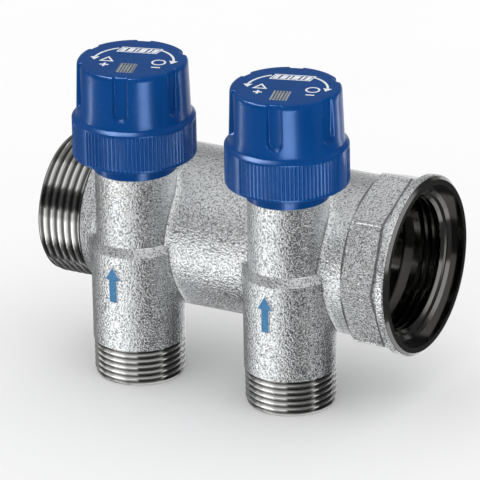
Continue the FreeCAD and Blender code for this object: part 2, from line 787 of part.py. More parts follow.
def main():
    """Write every node."""
    os.makedirs("parts", exist_ok=True)
    save("manifold_bar", manifold_bar())
    for name, make in TOWER_PIECES:
        made = make()
        pieces = made if isinstance(made, list) else [made]
        for number, x in enumerate(tower_xs, 1):
            save("%s_%d" % (name, number), [at_tower(piece, x) for piece in pieces])


main()
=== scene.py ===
"""Looks of a two-outlet heating manifold: cast bar, two handwheel valves and their prints.

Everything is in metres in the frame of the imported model: +Z up, +X along the bar, the towers in
front of it at -Y, and the origin on the bar's axis midway between the towers.
"""

import json
import logging
import math
from dataclasses import dataclass, field
from enum import Enum
from typing import Callable, Sequence

import bmesh
import bpy
import numpy as np
from mathutils import Matrix, Vector


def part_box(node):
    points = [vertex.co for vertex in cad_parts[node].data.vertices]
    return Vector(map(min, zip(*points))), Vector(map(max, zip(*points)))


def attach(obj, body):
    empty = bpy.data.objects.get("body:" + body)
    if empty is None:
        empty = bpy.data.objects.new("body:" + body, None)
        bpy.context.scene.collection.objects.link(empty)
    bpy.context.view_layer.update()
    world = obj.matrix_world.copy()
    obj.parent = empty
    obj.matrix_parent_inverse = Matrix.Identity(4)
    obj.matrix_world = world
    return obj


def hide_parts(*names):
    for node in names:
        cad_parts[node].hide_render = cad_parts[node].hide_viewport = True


LOG = logging.getLogger("manifold")
MM = 0.001
TINY = 1e-7                      # metres; places closer than this are one place
NOISE_MIDDLE = (0.3, 0.7)        # most values of a noise lie between these
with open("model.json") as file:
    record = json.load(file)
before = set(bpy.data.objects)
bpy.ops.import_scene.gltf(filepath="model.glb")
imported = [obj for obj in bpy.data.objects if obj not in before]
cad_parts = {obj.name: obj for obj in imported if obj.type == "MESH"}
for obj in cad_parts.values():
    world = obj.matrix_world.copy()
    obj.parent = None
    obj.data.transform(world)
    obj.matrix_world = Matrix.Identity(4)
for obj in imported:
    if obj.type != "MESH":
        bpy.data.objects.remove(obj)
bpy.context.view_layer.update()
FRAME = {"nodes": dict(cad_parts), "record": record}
Socket = bpy.types.NodeSocket
Colour = tuple[float, float, float]
Range = tuple[float, float]
Shape = tuple[np.ndarray, np.ndarray]


class Turn(Enum):
    """Way a printed arrow points round the handwheel, seen from above."""

    OPEN = 1
    CLOSE = -1


class Zone(Enum):
    """Outputs of the node group that tells cast skin from machined metal."""

    MACHINED = "Machined"
    MOUTH_SHADE = "Mouth shade"
    ALONG = "Along"
    SEAM = "Seam"
    VALLEY_SHADE = "Valley shade"
    RIDGE = "Ridge"
    PAINTED_SHADE = "Painted shade"


# ------------------------------------------------------------------ shader graph helpers
class Graph:
    """Adds and links nodes in one shader tree."""

    def __init__(self, tree: bpy.types.NodeTree) -> None:
        """Keep the tree that the nodes go into."""
        self.tree = tree

    def node(self, kind: str, **settings: object) -> bpy.types.Node:
        """Add a node.

        Args:
            kind: Blender's type name of the node, without the ShaderNode prefix.
            settings: properties to set on the node.

        Returns:
            The new node.
        """
        made = self.tree.nodes.new("ShaderNode" + kind)
        for name, value in settings.items():
            setattr(made, name, value)
        return made

    def feed(self, target: Socket, source: "Socket | float | Sequence[float]") -> None:
        """Link a socket into another, or set a plain value on it.

        Args:
            target: the input socket.
            source: an output socket, or the value.
        """
        if isinstance(source, bpy.types.NodeSocket):
            self.tree.links.new(source, target)
        else:
            target.default_value = source

    def math(self, operation: str, *values: "Socket | float") -> Socket:
        """Apply a Math node.

        Args:
            operation: Blender's name of the operation.
            values: its sockets or numbers, in order.

        Returns:
            The node's output.
        """
        made = self.node("Math", operation=operation)
        for slot, value in zip(made.inputs, values):
            self.feed(slot, value)
        return made.outputs[0]

    def product(self, first: Socket, *others: "Socket | float") -> Socket:
        """Multiply several values.

        Args:
            first: the first factor.
            others: the other factors.

        Returns:
            Their product.
        """
        for other in others:
            first = self.math("MULTIPLY", first, other)
        return first

    def largest(self, first: Socket, *others: "Socket | float") -> Socket:
        """Take the largest of several values.

        Args:
            first: the first value.
            others: the other values.

        Returns:
            The largest.
        """
        for other in others:
            first = self.math("MAXIMUM", first, other)
        return first

    def length(self, first: Socket, second: Socket) -> Socket:
        """Length of a vector with these two parts."""
        squares = self.math("MULTIPLY_ADD", first, first, self.math("MULTIPLY", second, second))
        return self.math("SQRT", squares)

    def step(self, value: Socket, start: float, end: float) -> Socket:
        """Smooth step from 0 at start to 1 at end.

        Args:
            value: the value that is stepped.
            start: where the step is 0.
            end: where it is 1; it may lie below start.

        Returns:
            The step.
        """
        made = self.node("MapRange", interpolation_type="SMOOTHSTEP")
        self.feed(made.inputs["Value"], value)
        rising = end > start
        made.inputs["From Min"].default_value = min(start, end)
        made.inputs["From Max"].default_value = max(start, end)
        made.inputs["To Min"].default_value = 0.0 if rising else 1.0
        made.inputs["To Max"].default_value = 1.0 if rising else 0.0
        return made.outputs["Result"]

    def span(self, value: Socket, source: Range, target: Range) -> Socket:
        """Map a value in line from one range to another, clamped.

        Args:
            value: the value that is mapped.
            source: its low and high ends.
            target: what they become.

        Returns:
            The mapped value.
        """
        made = self.node("MapRange")
        self.feed(made.inputs["Value"], value)
        for name, number in zip(("From Min", "From Max", "To Min", "To Max"), source + target):
            made.inputs[name].default_value = number
        return made.outputs["Result"]

    def blend(self, factor: Socket, first: "Socket | Colour", second: "Socket | Colour") -> Socket:
        """Mix two colours by a factor that changes over the surface.

        Args:
            factor: 0 for the first, 1 for the second.
            first: a colour or a socket of one.
            second: the other.

        Returns:
            The mixed colour.
        """
        made = self.node("Mix", data_type="RGBA")
        self.feed(made.inputs["Factor"], factor)
        for slot, value in ((made.inputs["A"], first), (made.inputs["B"], second)):
            self.feed(slot, value if isinstance(value, bpy.types.NodeSocket) else (*value, 1.0))
        return made.outputs["Result"]

    def lerp(self, factor: Socket, first: "Socket | float", second: "Socket | float") -> Socket:
        """Mix two numbers by a factor that changes over the surface.

        Args:
            factor: 0 for the first, 1 for the second.
            first: a number or a socket of one.
            second: the other.

        Returns:
            The mixed number.
        """
        made = self.node("Mix", data_type="FLOAT")
        for name, value in (("Factor", factor), ("A", first), ("B", second)):
            self.feed(made.inputs[name], value)
        return made.outputs["Result"]

    def noise(self, vector: Socket, scale: "Socket | float", detail: float = 2.0,
              roughness: float = 0.5) -> Socket:
        """Add a noise texture.

        Args:
            vector: where it is read.
            scale: its features per metre.
            detail: its number of finer layers.
            roughness: the weight of each finer layer.

        Returns:
            Its value.
        """
        made = self.node("TexNoise")
        for name, value in (("Vector", vector), ("Scale", scale), ("Detail", detail),
                            ("Roughness", roughness)):
            self.feed(made.inputs[name], value)
        return made.outputs["Fac"]

    def place(self, group: bpy.types.NodeTree, **inputs: "Socket | float") -> bpy.types.Node:
        """Place a node group.

        Args:
            group: the group's tree.
            inputs: what its inputs are fed, by name.

        Returns:
            The group's node.
        """
        made = self.node("Group", node_tree=group)
        for name, value in inputs.items():
            self.feed(made.inputs[name], value)
        return made

    def coordinates(self) -> Socket:
        """Object coordinates."""
        return self.node("TexCoord").outputs["Object"]

    def split(self, vector: Socket) -> tuple[Socket, Socket, Socket]:
        """Split a vector.

        Args:
            vector: the vector.

        Returns:
            Its x, y and z.
        """
        made = self.node("SeparateXYZ")
        self.feed(made.inputs[0], vector)
        return tuple(made.outputs)

    def bump(self, height: Socket, distance: float) -> Socket:
        """Lean the normal by a relief.

        Args:
            height: the relief's height, as a share of the distance.
            distance: the relief's full height in metres.

        Returns:
            The new normal.
        """
        made = self.node("Bump")
        made.inputs["Strength"].default_value = 1.0
        made.inputs["Distance"].default_value = distance
        self.feed(made.inputs["Height"], height)
        return made.outputs["Normal"]


def new_group(name: str, inputs: dict[str, tuple[str, float]], outputs: Sequence[str],
              fill: Callable[[Graph, bpy.types.Node, bpy.types.Node], None]) -> bpy.types.NodeTree:
    """Make a shader node group.

    Args:
        name: the group's name.
        inputs: socket name to (kind, default), where kind is Vector or Float.
        outputs: names of its float outputs.
        fill: adds the nodes between the group's input node and its output node.

    Returns:
        The group's tree.
    """
    tree = bpy.data.node_groups.new(name, "ShaderNodeTree")
    for label, (kind, default) in inputs.items():
        made = tree.interface.new_socket(name=label, in_out="INPUT",
                                         socket_type="NodeSocket" + kind)
        if kind == "Float":
            made.default_value = default
    for label in outputs:
        tree.interface.new_socket(name=label, in_out="OUTPUT", socket_type="NodeSocketFloat")
    entry, leave = tree.nodes.new("NodeGroupInput"), tree.nodes.new("NodeGroupOutput")
    fill(Graph(tree), entry, leave)
    return tree


def new_material(name: str) -> tuple[bpy.types.Material, Graph, bpy.types.Node]:
    """Make a node material.

    Args:
        name: its name.

    Returns:
        The material, its graph and its Principled shader.
    """
    material = bpy.data.materials.new(name)
    material.use_nodes = True
    shader = next(n for n in material.node_tree.nodes if n.type == "BSDF_PRINCIPLED")
    return material, Graph(material.node_tree), shader


# ------------------------------------------------------------------ shared surface effects
@dataclass(frozen=True)
class Grain:
    """Blasted grain: fine pits over a soft orange peel.

    Height is a fine noise plus a share of a coarser one; Pits marks the fine noise's low spots.
    """

    fine_detail: float = 1.5
    coarse_detail: float = 1.0
    coarse_scale: float = 0.33
    coarse_share: float = 0.3
    pit_levels: Range = (0.47, 0.34)

    def fill(self, graph: Graph, entry: bpy.types.Node, leave: bpy.types.Node) -> None:
        """Add the two noises and their sum.

        Args:
            graph: the group's graph.
            entry: its input node.
            leave: its output node.
        """
        where = entry.outputs["Vector"]
        scale = graph.math("DIVIDE", 1.0, entry.outputs["Size"])
        fine = graph.noise(where, scale, self.fine_detail)
        coarse = graph.noise(where, graph.math("MULTIPLY", scale, self.coarse_scale),
                             self.coarse_detail)
        low = graph.math("MULTIPLY", coarse, self.coarse_share)
        total = graph.math("MULTIPLY_ADD", fine, 1.0 - self.coarse_share, low)
        graph.feed(leave.inputs["Height"], total)
        graph.feed(leave.inputs["Pits"], graph.step(fine, *self.pit_levels))

    def make(self) -> bpy.types.NodeTree:
        """Make the node group."""
        return new_group("grain", {"Vector": ("Vector", 0.0), "Size": ("Float", 0.5 * MM)},
                         ("Height", "Pits"), self.fill)


@dataclass(frozen=True)
class ToolLines:
    """Tool lines of a lathe: noise that changes only along one coordinate, in metres."""

    detail: float = 3.0

    def fill(self, graph: Graph, entry: bpy.types.Node, leave: bpy.types.Node) -> None:
        """Add the one-way noise.

        Args:
            graph: the group's graph.
            entry: its input node.
            leave: its output node.
        """
        lines = graph.node("TexNoise", noise_dimensions="1D")
        graph.feed(lines.inputs["W"], graph.math(
            "DIVIDE", entry.outputs["Along"], entry.outputs["Pitch"]))
        lines.inputs["Scale"].default_value = 1.0
        lines.inputs["Detail"].default_value = self.detail
        graph.feed(leave.inputs["Height"], lines.outputs["Fac"])

    def make(self) -> bpy.types.NodeTree:
        """Make the node group."""
        return new_group("turned_lines", {"Along": ("Float", 0.0), "Pitch": ("Float", 0.2 * MM)},
                         ("Height",), self.fill)


@dataclass(frozen=True)
class Haze:
    """Faint handling haze: patches of large noise broken up by a smaller one."""

    large_size: float = 18.0 * MM
    large_levels: Range = (0.42, 0.72)
    small_size: float = 2.2 * MM
    small_detail: float = 3.0
    small_roughness: float = 0.7
    small_levels: Range = (0.35, 0.75)

    def fill(self, graph: Graph, entry: bpy.types.Node, leave: bpy.types.Node) -> None:
        """Multiply the large and the small patches.

        Args:
            graph: the group's graph.
            entry: its input node.
            leave: its output node.
        """
        where = entry.outputs["Vector"]
        large = graph.noise(where, 1.0 / self.large_size)
        small = graph.noise(where, 1.0 / self.small_size, self.small_detail,
                            self.small_roughness)
        graph.feed(leave.inputs["Haze"], graph.math(
            "MULTIPLY", graph.step(large, *self.large_levels),
            graph.step(small, *self.small_levels)))

    def make(self) -> bpy.types.NodeTree:
        """Make the node group."""
        return new_group("handling_haze", {"Vector": ("Vector", 0.0)}, ("Haze",), self.fill)


@dataclass(frozen=True)
class MetalZones:
    """Where the casting is cast skin, machined metal, painted shade, ridge or seam, told by place.
    """

    edge: float = 0.08 * MM
    bar_radius: float = 23.6 * MM
    bore: float = 16.6 * MM
    male_shoulder: float = -43.0 * MM
    main_crest: float = 20.955 * MM
    female_rim: float = 58.75 * MM
    thread_outer: float = 22.6 * MM
    thread_start: float = 40.0 * MM
    mouth_outer: float = 24.0 * MM
    mouth_start: float = 56.4 * MM
    tower_x: float = 25.0 * MM
    tower_y: float = -19.396 * MM
    tower_bore: float = 10.4 * MM
    lower_tower: float = 13.47 * MM
    upper_tower: float = 11.8 * MM
    tower_step: Range = (-0.3 * MM, 2.2 * MM)
    outlet_shoulder: float = -29.5 * MM
    outlet_crest: float = 13.2205 * MM
    # Depth range below the crest over which painted shade is laid between the thread crests.
    valley: Range = (0.25 * MM, 1.1 * MM)
    octagon: Range = (44.5 * MM, 54.9 * MM)
    octagon_flat: float = 24.5 * MM
    octagon_fade: float = 0.4 * MM
    ridge_width: Range = (0.55 * MM, 0.15 * MM)
    # Painted shade: the lines at the octagon's ends and the band on each tower's step.
    line_width: Range = (0.62 * MM, 0.2 * MM)
    line_beyond: float = 0.2 * MM
    line_skin: Range = (0.5 * MM, 0.3 * MM)
    band_fade: float = 0.4 * MM
    band_reach: float = 0.2 * MM
    band_shade: float = 0.36

    def mouth(self, graph: Graph, x: Socket, from_bar: Socket) -> Socket:
        """Mark the female end: beyond the rim's chamfer, and inside its thread and mouth.

        Args:
            graph: the group's graph.
            x: place along the bar.
            from_bar: distance from the bar's axis.

        Returns:
            1 in the mouth, 0 elsewhere.
        """
        # The mouth is machined; it is painted dark, as painted shade inside and painted dark
        # reflection on the rim's face.
        rim = graph.step(x, self.female_rim, self.female_rim + self.edge)
        inside = (graph.product(graph.step(from_bar, outer + self.edge, outer),
                                graph.step(x, start, start + self.edge))
                  for outer, start in ((self.thread_outer, self.thread_start),
                                       (self.mouth_outer, self.mouth_start)))
        return graph.largest(rim, *inside)

    def thread_valley(self, graph: Graph, distance: Socket, crest: float) -> Socket:
        """Depth between a thread's crests.

        Args:
            graph: the group's graph.
            distance: distance from the thread's axis.
            crest: its crest radius.

        Returns:
            0 near the crest, 1 at the bottom.
        """
        near, far = self.valley
        return graph.step(distance, crest - near, crest - far)

    def ridges(self, graph: Graph, x: Socket, y: Socket, z: Socket) -> Socket:
        """Mark the octagon's eight corners.

        The angle about the bar is wrapped to an eighth to each side of a corner; its size times
        the distance across the flats' half is the distance from that corner.

        Args:
            graph: the group's graph.
            x: place along the bar.
            y: place across it.
            z: height.

        Returns:
            1 on a corner of the octagon, 0 elsewhere.
        """
        start, end = self.octagon
        eighth = math.pi / 8.0
        turn = graph.math("ARCTAN2", z, graph.math("MULTIPLY", y, -1.0))
        lean = graph.math("ABSOLUTE", graph.math("WRAP", turn, eighth, -eighth))
        corner = graph.math("MULTIPLY", lean, self.octagon_flat)
        return graph.product(graph.step(x, start, start + self.octagon_fade),
                             graph.step(x, end + self.octagon_fade, end),
                             graph.step(corner, *self.ridge_width))

    def grooves(self, graph: Graph, x: Socket, z: Socket, from_bar: Socket,
                from_tower: Socket) -> Socket:
        """Mark the painted shade: dark lines at the octagon's two ends, and a band on the step
        round each tower.

        Args:
            graph: the group's graph.
            x: place along the bar.
            z: height.
            from_bar: distance from the bar's axis.
            from_tower: distance from the nearer tower's axis.

        Returns:
            1 in a painted shade line, the band's painted shade on a step, 0 elsewhere.
        """
        # Painted shade: dark lines stand in for the shade of a small groove at each end of the
        # octagon, and the band for the shade under the step round each tower.
        ends = graph.largest(*(
            graph.step(graph.math("ABSOLUTE", graph.math("SUBTRACT", x, place)),
                       *self.line_width)
            for place in (self.octagon[0], self.octagon[1] + self.line_beyond)))
        skin, deep = (self.bar_radius - below for below in reversed(self.line_skin))
        lines = graph.product(ends, graph.step(from_bar, deep, skin))
        low, high = self.tower_step
        band = graph.product(graph.step(z, low - self.band_fade, low),
                             graph.step(z, high, high - self.band_fade), self.band_shade,
                             graph.step(from_tower, self.lower_tower + self.band_reach,
                                        self.lower_tower))
        return graph.largest(band, lines)

    def seam(self, graph: Graph, z: Socket, from_bar: Socket, from_tower: Socket) -> Socket:
        """Distance from the seam between bar and tower: the larger of those from their skins.

        Args:
            graph: the group's graph.
            z: height.
            from_bar: distance from the bar's axis.
            from_tower: distance from the nearer tower's axis.

        Returns:
            The distance in metres.
        """
        skin = graph.lerp(graph.step(z, *self.tower_step), self.lower_tower, self.upper_tower)
        return graph.largest(graph.math("SUBTRACT", from_tower, skin),
                             graph.math("SUBTRACT", from_bar, self.bar_radius))

    def fill(self, graph: Graph, entry: bpy.types.Node, leave: bpy.types.Node) -> None:
        """Add the distances and the zones.

        Args:
            graph: the group's graph.
            entry: its input node.
            leave: its output node.
        """
        x, y, z = graph.split(entry.outputs["Vector"])
        from_bar = graph.length(y, z)
        side = graph.math("SUBTRACT", graph.math("ABSOLUTE", x), self.tower_x)
        from_tower = graph.length(side, graph.math("SUBTRACT", y, self.tower_y))
        male = graph.step(x, self.male_shoulder, self.male_shoulder - self.edge)
        outlet = graph.step(z, self.outlet_shoulder, self.outlet_shoulder - self.edge)
        mouth = self.mouth(graph, x, from_bar)
        results = {
            Zone.MOUTH_SHADE: mouth,
            Zone.MACHINED: graph.largest(
                mouth, male, outlet, graph.step(from_bar, self.bore + self.edge, self.bore),
                graph.step(from_tower, self.tower_bore + self.edge, self.tower_bore)),
            Zone.ALONG: graph.lerp(outlet, x, z),
            Zone.SEAM: self.seam(graph, z, from_bar, from_tower),
            # Painted shade between the threads' crests.
            Zone.VALLEY_SHADE: graph.largest(
                graph.product(male, self.thread_valley(graph, from_bar, self.main_crest)),
                graph.product(outlet, self.thread_valley(graph, from_tower,
                                                         self.outlet_crest))),
            Zone.RIDGE: self.ridges(graph, x, y, z),
            Zone.PAINTED_SHADE: self.grooves(graph, x, z, from_bar, from_tower)}
        for zone, socket in results.items():
            graph.feed(leave.inputs[zone.value], socket)

    def make(self) -> bpy.types.NodeTree:
        """Make the node group."""
        return new_group("metal_zones", {"Vector": ("Vector", 0.0)},
                         [zone.value for zone in Zone], self.fill)


# ------------------------------------------------------------------ finishes
@dataclass(frozen=True)
class PlatedCasting:
    """Nickel-plated brass: blasted cast skin, bright machined threads, painted shade in the mouth,
    thread valleys and seams.
    """

    cast: Colour = (0.76, 0.78, 0.795)
    pit: Colour = (0.37, 0.385, 0.395)
    # Colour of the painted shade along the seams, at the octagon's ends and on the towers' steps.
    groove: Colour = (0.12, 0.12, 0.12)
    stain: Colour = (0.66, 0.66, 0.58)
    bright: Colour = (0.68, 0.68, 0.67)
    # Painted dark shade inside the female end and painted dark reflection on its rim's face.
    mouth: Colour = (0.21, 0.205, 0.20)
    # Colour of the painted shade between the threads' crests.
    valley: Colour = (0.27, 0.27, 0.265)
    stain_share: float = 0.35
    crease_shade_share: float = 0.55
    painted_shade_share: float = 0.8
    cast_roughness: Range = (0.26, 0.16)
    tooled_roughness: Range = (0.10, 0.18)
    grain_size: float = 0.56 * MM
    grain_relief: float = 0.45 * MM
    ridge_relief: float = 0.12 * MM
    tool_pitch: float = 0.12 * MM
    tool_relief: float = 0.004 * MM
    fillet: float = 2.2 * MM
    # Width of the painted shade along the seam between bar and tower.
    crease_shade: float = 0.5 * MM

    def seam_fillet(self, graph: Graph, seam: Socket) -> Socket:
        """Height of the soft fillet: (w - d) squared over 4w within its width w.

        It leans the normal by up to 27 degrees at the seam.

        Args:
            graph: the material's graph.
            seam: distance d from the seam.

        Returns:
            The height in metres.
        """
        near = graph.math("MAXIMUM", graph.math("SUBTRACT", self.fillet, seam), 0.0)
        near = graph.math("MINIMUM", near, self.fillet)
        return graph.math("DIVIDE", graph.math("MULTIPLY", near, near), 4.0 * self.fillet)

    def make(self, grain: bpy.types.NodeTree, turned: bpy.types.NodeTree,
             haze: bpy.types.NodeTree) -> bpy.types.Material:
        """Build the material from the shared groups.

        Args:
            grain: the grain group.
            turned: the tool line group.
            haze: the haze group.

        Returns:
            The material.
        """
        material, graph, shader = new_material("plated_casting")
        where = graph.coordinates()
        marks = graph.place(MetalZones().make(), Vector=where)
        zone = {each: marks.outputs[each.value] for each in Zone}
        skin = graph.place(grain, Vector=where, Size=self.grain_size)
        lines = graph.place(turned, Along=zone[Zone.ALONG], Pitch=self.tool_pitch)
        veil = graph.place(haze, Vector=where)
        cast = graph.blend(skin.outputs["Pits"], self.cast, self.pit)
        cast = graph.blend(graph.math("MULTIPLY", veil.outputs["Haze"], self.stain_share),
                           cast, self.stain)
        # Painted shade: along the seam between bar and tower the cast skin is darkened towards the
        # groove colour.
        crease_shade = graph.math("MULTIPLY", graph.step(zone[Zone.SEAM], self.crease_shade, 0.0),
                            self.crease_shade_share)
        groove = graph.math("MULTIPLY", zone[Zone.PAINTED_SHADE], self.painted_shade_share)
        cast = graph.blend(graph.largest(crease_shade, groove), cast, self.groove)
        # Painted shade between the threads' crests.
        metal = graph.blend(zone[Zone.VALLEY_SHADE], self.bright, self.valley)
        # Painted dark shade inside the female end and painted dark reflection on its rim's face.
        metal = graph.blend(zone[Zone.MOUTH_SHADE], metal, self.mouth)
        machined = zone[Zone.MACHINED]
        graph.feed(shader.inputs["Base Color"], graph.blend(machined, cast, metal))
        graph.feed(shader.inputs["Roughness"], graph.lerp(
            machined, graph.span(skin.outputs["Height"], NOISE_MIDDLE, self.cast_roughness),
            graph.span(lines.outputs["Height"], NOISE_MIDDLE, self.tooled_roughness)))
        relief = graph.math("MULTIPLY_ADD", skin.outputs["Height"], self.grain_relief,
                            self.seam_fillet(graph, zone[Zone.SEAM]))
        relief = graph.math("MULTIPLY_ADD", zone[Zone.RIDGE], self.ridge_relief, relief)
        tooled = graph.math("MULTIPLY", lines.outputs["Height"], self.tool_relief)
        graph.feed(shader.inputs["Normal"], graph.bump(graph.lerp(machined, relief, tooled), 1.0))
        shader.inputs["Metallic"].default_value = 1.0
        return material


@dataclass(frozen=True)
class MouldedPlastic:
    """Injection-moulded plastic with a fine mould texture and a faint haze."""

    name: str
    colour: Colour
    shade: Colour
    roughness: float = 0.2
    texture_size: float = 0.35 * MM
    texture_relief: float = 0.004 * MM
    specular: float = 0.5
    gleam: Colour = (0.42, 0.62, 1.0)
    flow_size: float = 14.0 * MM
    haze_roughness: float = 0.10

    def make(self, grain: bpy.types.NodeTree, haze: bpy.types.NodeTree) -> bpy.types.Material:
        """Build the material from the shared groups.

        Args:
            grain: the grain group.
            haze: the haze group.

        Returns:
            The material.
        """
        material, graph, shader = new_material(self.name)
        where = graph.coordinates()
        skin = graph.place(grain, Vector=where, Size=self.texture_size)
        veil = graph.place(haze, Vector=where)
        flow = graph.step(graph.noise(where, 1.0 / self.flow_size), *NOISE_MIDDLE)
        graph.feed(shader.inputs["Base Color"], graph.blend(flow, self.colour, self.shade))
        graph.feed(shader.inputs["Roughness"], graph.math(
            "MULTIPLY_ADD", veil.outputs["Haze"], self.haze_roughness, self.roughness))
        graph.feed(shader.inputs["Normal"],
                   graph.bump(skin.outputs["Height"], self.texture_relief))
        shader.inputs["Specular IOR Level"].default_value = self.specular
        shader.inputs["Specular Tint"].default_value = (*self.gleam, 1.0)
        return material


@dataclass(frozen=True)
class HatchedPlastic:
    """Grey plastic of the index plates, hatched across with fine dark lines."""

    light: Colour = (0.36, 0.40, 0.44)
    dark: Colour = (0.07, 0.09, 0.13)
    pitch: float = 0.9 * MM
    turn: float = math.radians(16.0)
    line_levels: Range = (-0.2, 0.5)
    roughness: Range = (0.5, 0.38)
    grain_size: float = 0.3 * MM
    grain_relief: float = 0.01 * MM

    def make(self, grain: bpy.types.NodeTree) -> bpy.types.Material:
        """Build the material: the lines are a sine of the distance along the plate.

        Args:
            grain: the grain group.

        Returns:
            The material.
        """
        material, graph, shader = new_material("index_grey_plastic")
        where = graph.coordinates()
        x, y, _ = graph.split(where)
        along = graph.math("MULTIPLY_ADD", x, math.cos(self.turn),
                           graph.math("MULTIPLY", y, math.sin(self.turn)))
        wave = graph.math("SINE", graph.math("MULTIPLY", along, 2.0 * math.pi / self.pitch))
        lines = graph.step(wave, *self.line_levels)
        skin = graph.place(grain, Vector=where, Size=self.grain_size)
        graph.feed(shader.inputs["Base Color"], graph.blend(lines, self.dark, self.light))
        graph.feed(shader.inputs["Roughness"], graph.span(lines, (0.0, 1.0), self.roughness))
        graph.feed(shader.inputs["Normal"], graph.bump(skin.outputs["Height"], self.grain_relief))
        return material


@dataclass(frozen=True)
class TurnedMetal:
    """Turned metal with tool lines along the tower's axis."""

    name: str
    colour: Colour
    dark: Colour
    roughness: float = 0.22
    roughness_spread: Range = (-0.06, 0.08)
    pitch: float = 0.15 * MM
    relief: float = 0.006 * MM

    def make(self, turned: bpy.types.NodeTree, haze: bpy.types.NodeTree) -> bpy.types.Material:
        """Build the material from the shared groups.

        Args:
            turned: the tool line group.
            haze: the haze group.

        Returns:
            The material.
        """
        material, graph, shader = new_material(self.name)
        where = graph.coordinates()
        height = graph.place(turned, Along=graph.split(where)[2], Pitch=self.pitch).outputs[0]
        veil = graph.place(haze, Vector=where)
        graph.feed(shader.inputs["Base Color"],
                   graph.blend(veil.outputs["Haze"], self.colour, self.dark))
        low, high = (self.roughness + part for part in self.roughness_spread)
        graph.feed(shader.inputs["Roughness"], graph.span(height, NOISE_MIDDLE, (low, high)))
        graph.feed(shader.inputs["Normal"], graph.bump(height, self.relief))
        shader.inputs["Metallic"].default_value = 1.0
        return material


@dataclass(frozen=True)
class PrintedInk:
    """Pad-printed ink, slightly uneven, matt on the glossy plastic."""

    name: str
    colour: Colour
    thin: Colour
    patch_size: float = 0.5 * MM
    patch_detail: float = 3.0
    patch_roughness: float = 0.6
    thin_levels: Range = (0.5, 0.75)
    roughness: Range = (0.42, 0.6)

    def make(self) -> bpy.types.Material:
        """Build the material.

        Returns:
            The material.
        """
        material, graph, shader = new_material(self.name)
        patch = graph.noise(graph.coordinates(), 1.0 / self.patch_size, self.patch_detail,
                            self.patch_roughness)
        graph.feed(shader.inputs["Base Color"],
                   graph.blend(graph.step(patch, *self.thin_levels), self.colour, self.thin))
        graph.feed(shader.inputs["Roughness"], graph.span(patch, NOISE_MIDDLE, self.roughness))
        return material


@dataclass
class Finishes:
    """Every material of the object, built once."""

    casting: bpy.types.Material = field(init=False)
    blue: bpy.types.Material = field(init=False)
    grey: bpy.types.Material = field(init=False)
    brass: bpy.types.Material = field(init=False)
    steel: bpy.types.Material = field(init=False)
    rubber: bpy.types.Material = field(init=False)
    acetal: bpy.types.Material = field(init=False)
    white_ink: bpy.types.Material = field(init=False)
    arrow_ink: bpy.types.Material = field(init=False)

    def __post_init__(self) -> None:
        """Build the shared groups, then each material."""
        grain, turned, haze = Grain().make(), ToolLines().make(), Haze().make()
        self.casting = PlatedCasting().make(grain, turned, haze)
        self.blue = MouldedPlastic("royal_blue_plastic", (0.0, 0.051, 0.222),
                                   (0.0004, 0.057, 0.245), 0.24, specular=0.13).make(grain, haze)
        self.grey = HatchedPlastic().make(grain)
        self.brass = TurnedMetal("turned_brass", (0.72, 0.55, 0.26),
                                 (0.5, 0.36, 0.16)).make(turned, haze)
        self.steel = TurnedMetal("spring_steel", (0.42, 0.42, 0.43),
                                 (0.28, 0.27, 0.26), 0.3).make(turned, haze)
        self.rubber = MouldedPlastic("seal_rubber", (0.018, 0.018, 0.019), (0.03, 0.03, 0.03),
                                     0.55, 0.3 * MM, 0.012 * MM).make(grain, haze)
        self.acetal = MouldedPlastic("natural_acetal", (0.72, 0.70, 0.64), (0.66, 0.63, 0.56),
                                     0.4).make(grain, haze)
        self.white_ink = PrintedInk("white_print", (0.86, 0.88, 0.90), (0.62, 0.68, 0.76)).make()
        self.arrow_ink = PrintedInk("arrow_print", (0.05, 0.22, 0.45), (0.16, 0.36, 0.55)).make()

    def dress_cad(self) -> None:
        """Give every CAD node the material of its record slot."""
        by_slot = {"plated_brass": self.casting, "brass": self.brass, "elastomer": self.rubber,
                   "slip_plastic": self.acetal, "spring_steel": self.steel,
                   "stainless": self.steel, "blue_plastic": self.blue, "grey_plastic": self.grey}
        for part in FRAME["record"]["subparts"]:
            node = FRAME["nodes"][part["node"]]
            node.data.materials.clear()
            node.data.materials.append(by_slot[part["material_slot"]])


# ------------------------------------------------------------------ mesh helpers
def grid_faces(rows: int, columns: int, wrap: bool) -> np.ndarray:
    """Quads of a grid of points, row after row.

    Args:
        rows: number of rows.
        columns: points in a row.
        wrap: join each row's last point to its first.

    Returns:
        (n, 4) array of point numbers.
    """
    last = columns if wrap else columns - 1
    i, j = np.meshgrid(np.arange(rows - 1), np.arange(last), indexing="ij")
    following = (j + 1) % columns
    quads = np.stack([i * columns + j, i * columns + following,
                      (i + 1) * columns + following, (i + 1) * columns + j], axis=-1)
    return quads.reshape(-1, 4)


def mesh_piece(name: str, points: np.ndarray, faces: np.ndarray, material: bpy.types.Material,
               body: str, smooth: bool = True) -> bpy.types.Object:
    """Make a piece from points and faces, at the origin, riding on a body.

    Args:
        name: the piece's name.
        points: (n, 3) array of places in metres.
        faces: (n, 4) array of point numbers.
        material: its material.
        body: the CAD body it rides on.
        smooth: shade it smooth.

    Returns:
        The new object.
    """
    data = bpy.data.meshes.new(name)
    data.from_pydata(points.tolist(), [], faces.tolist())
    data.validate()
    data.polygons.foreach_set("use_smooth", np.full(len(data.polygons), smooth))
    data.materials.append(material)
    piece = bpy.data.objects.new(name, data)
    bpy.context.scene.collection.objects.link(piece)
    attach(piece, body)
    return piece


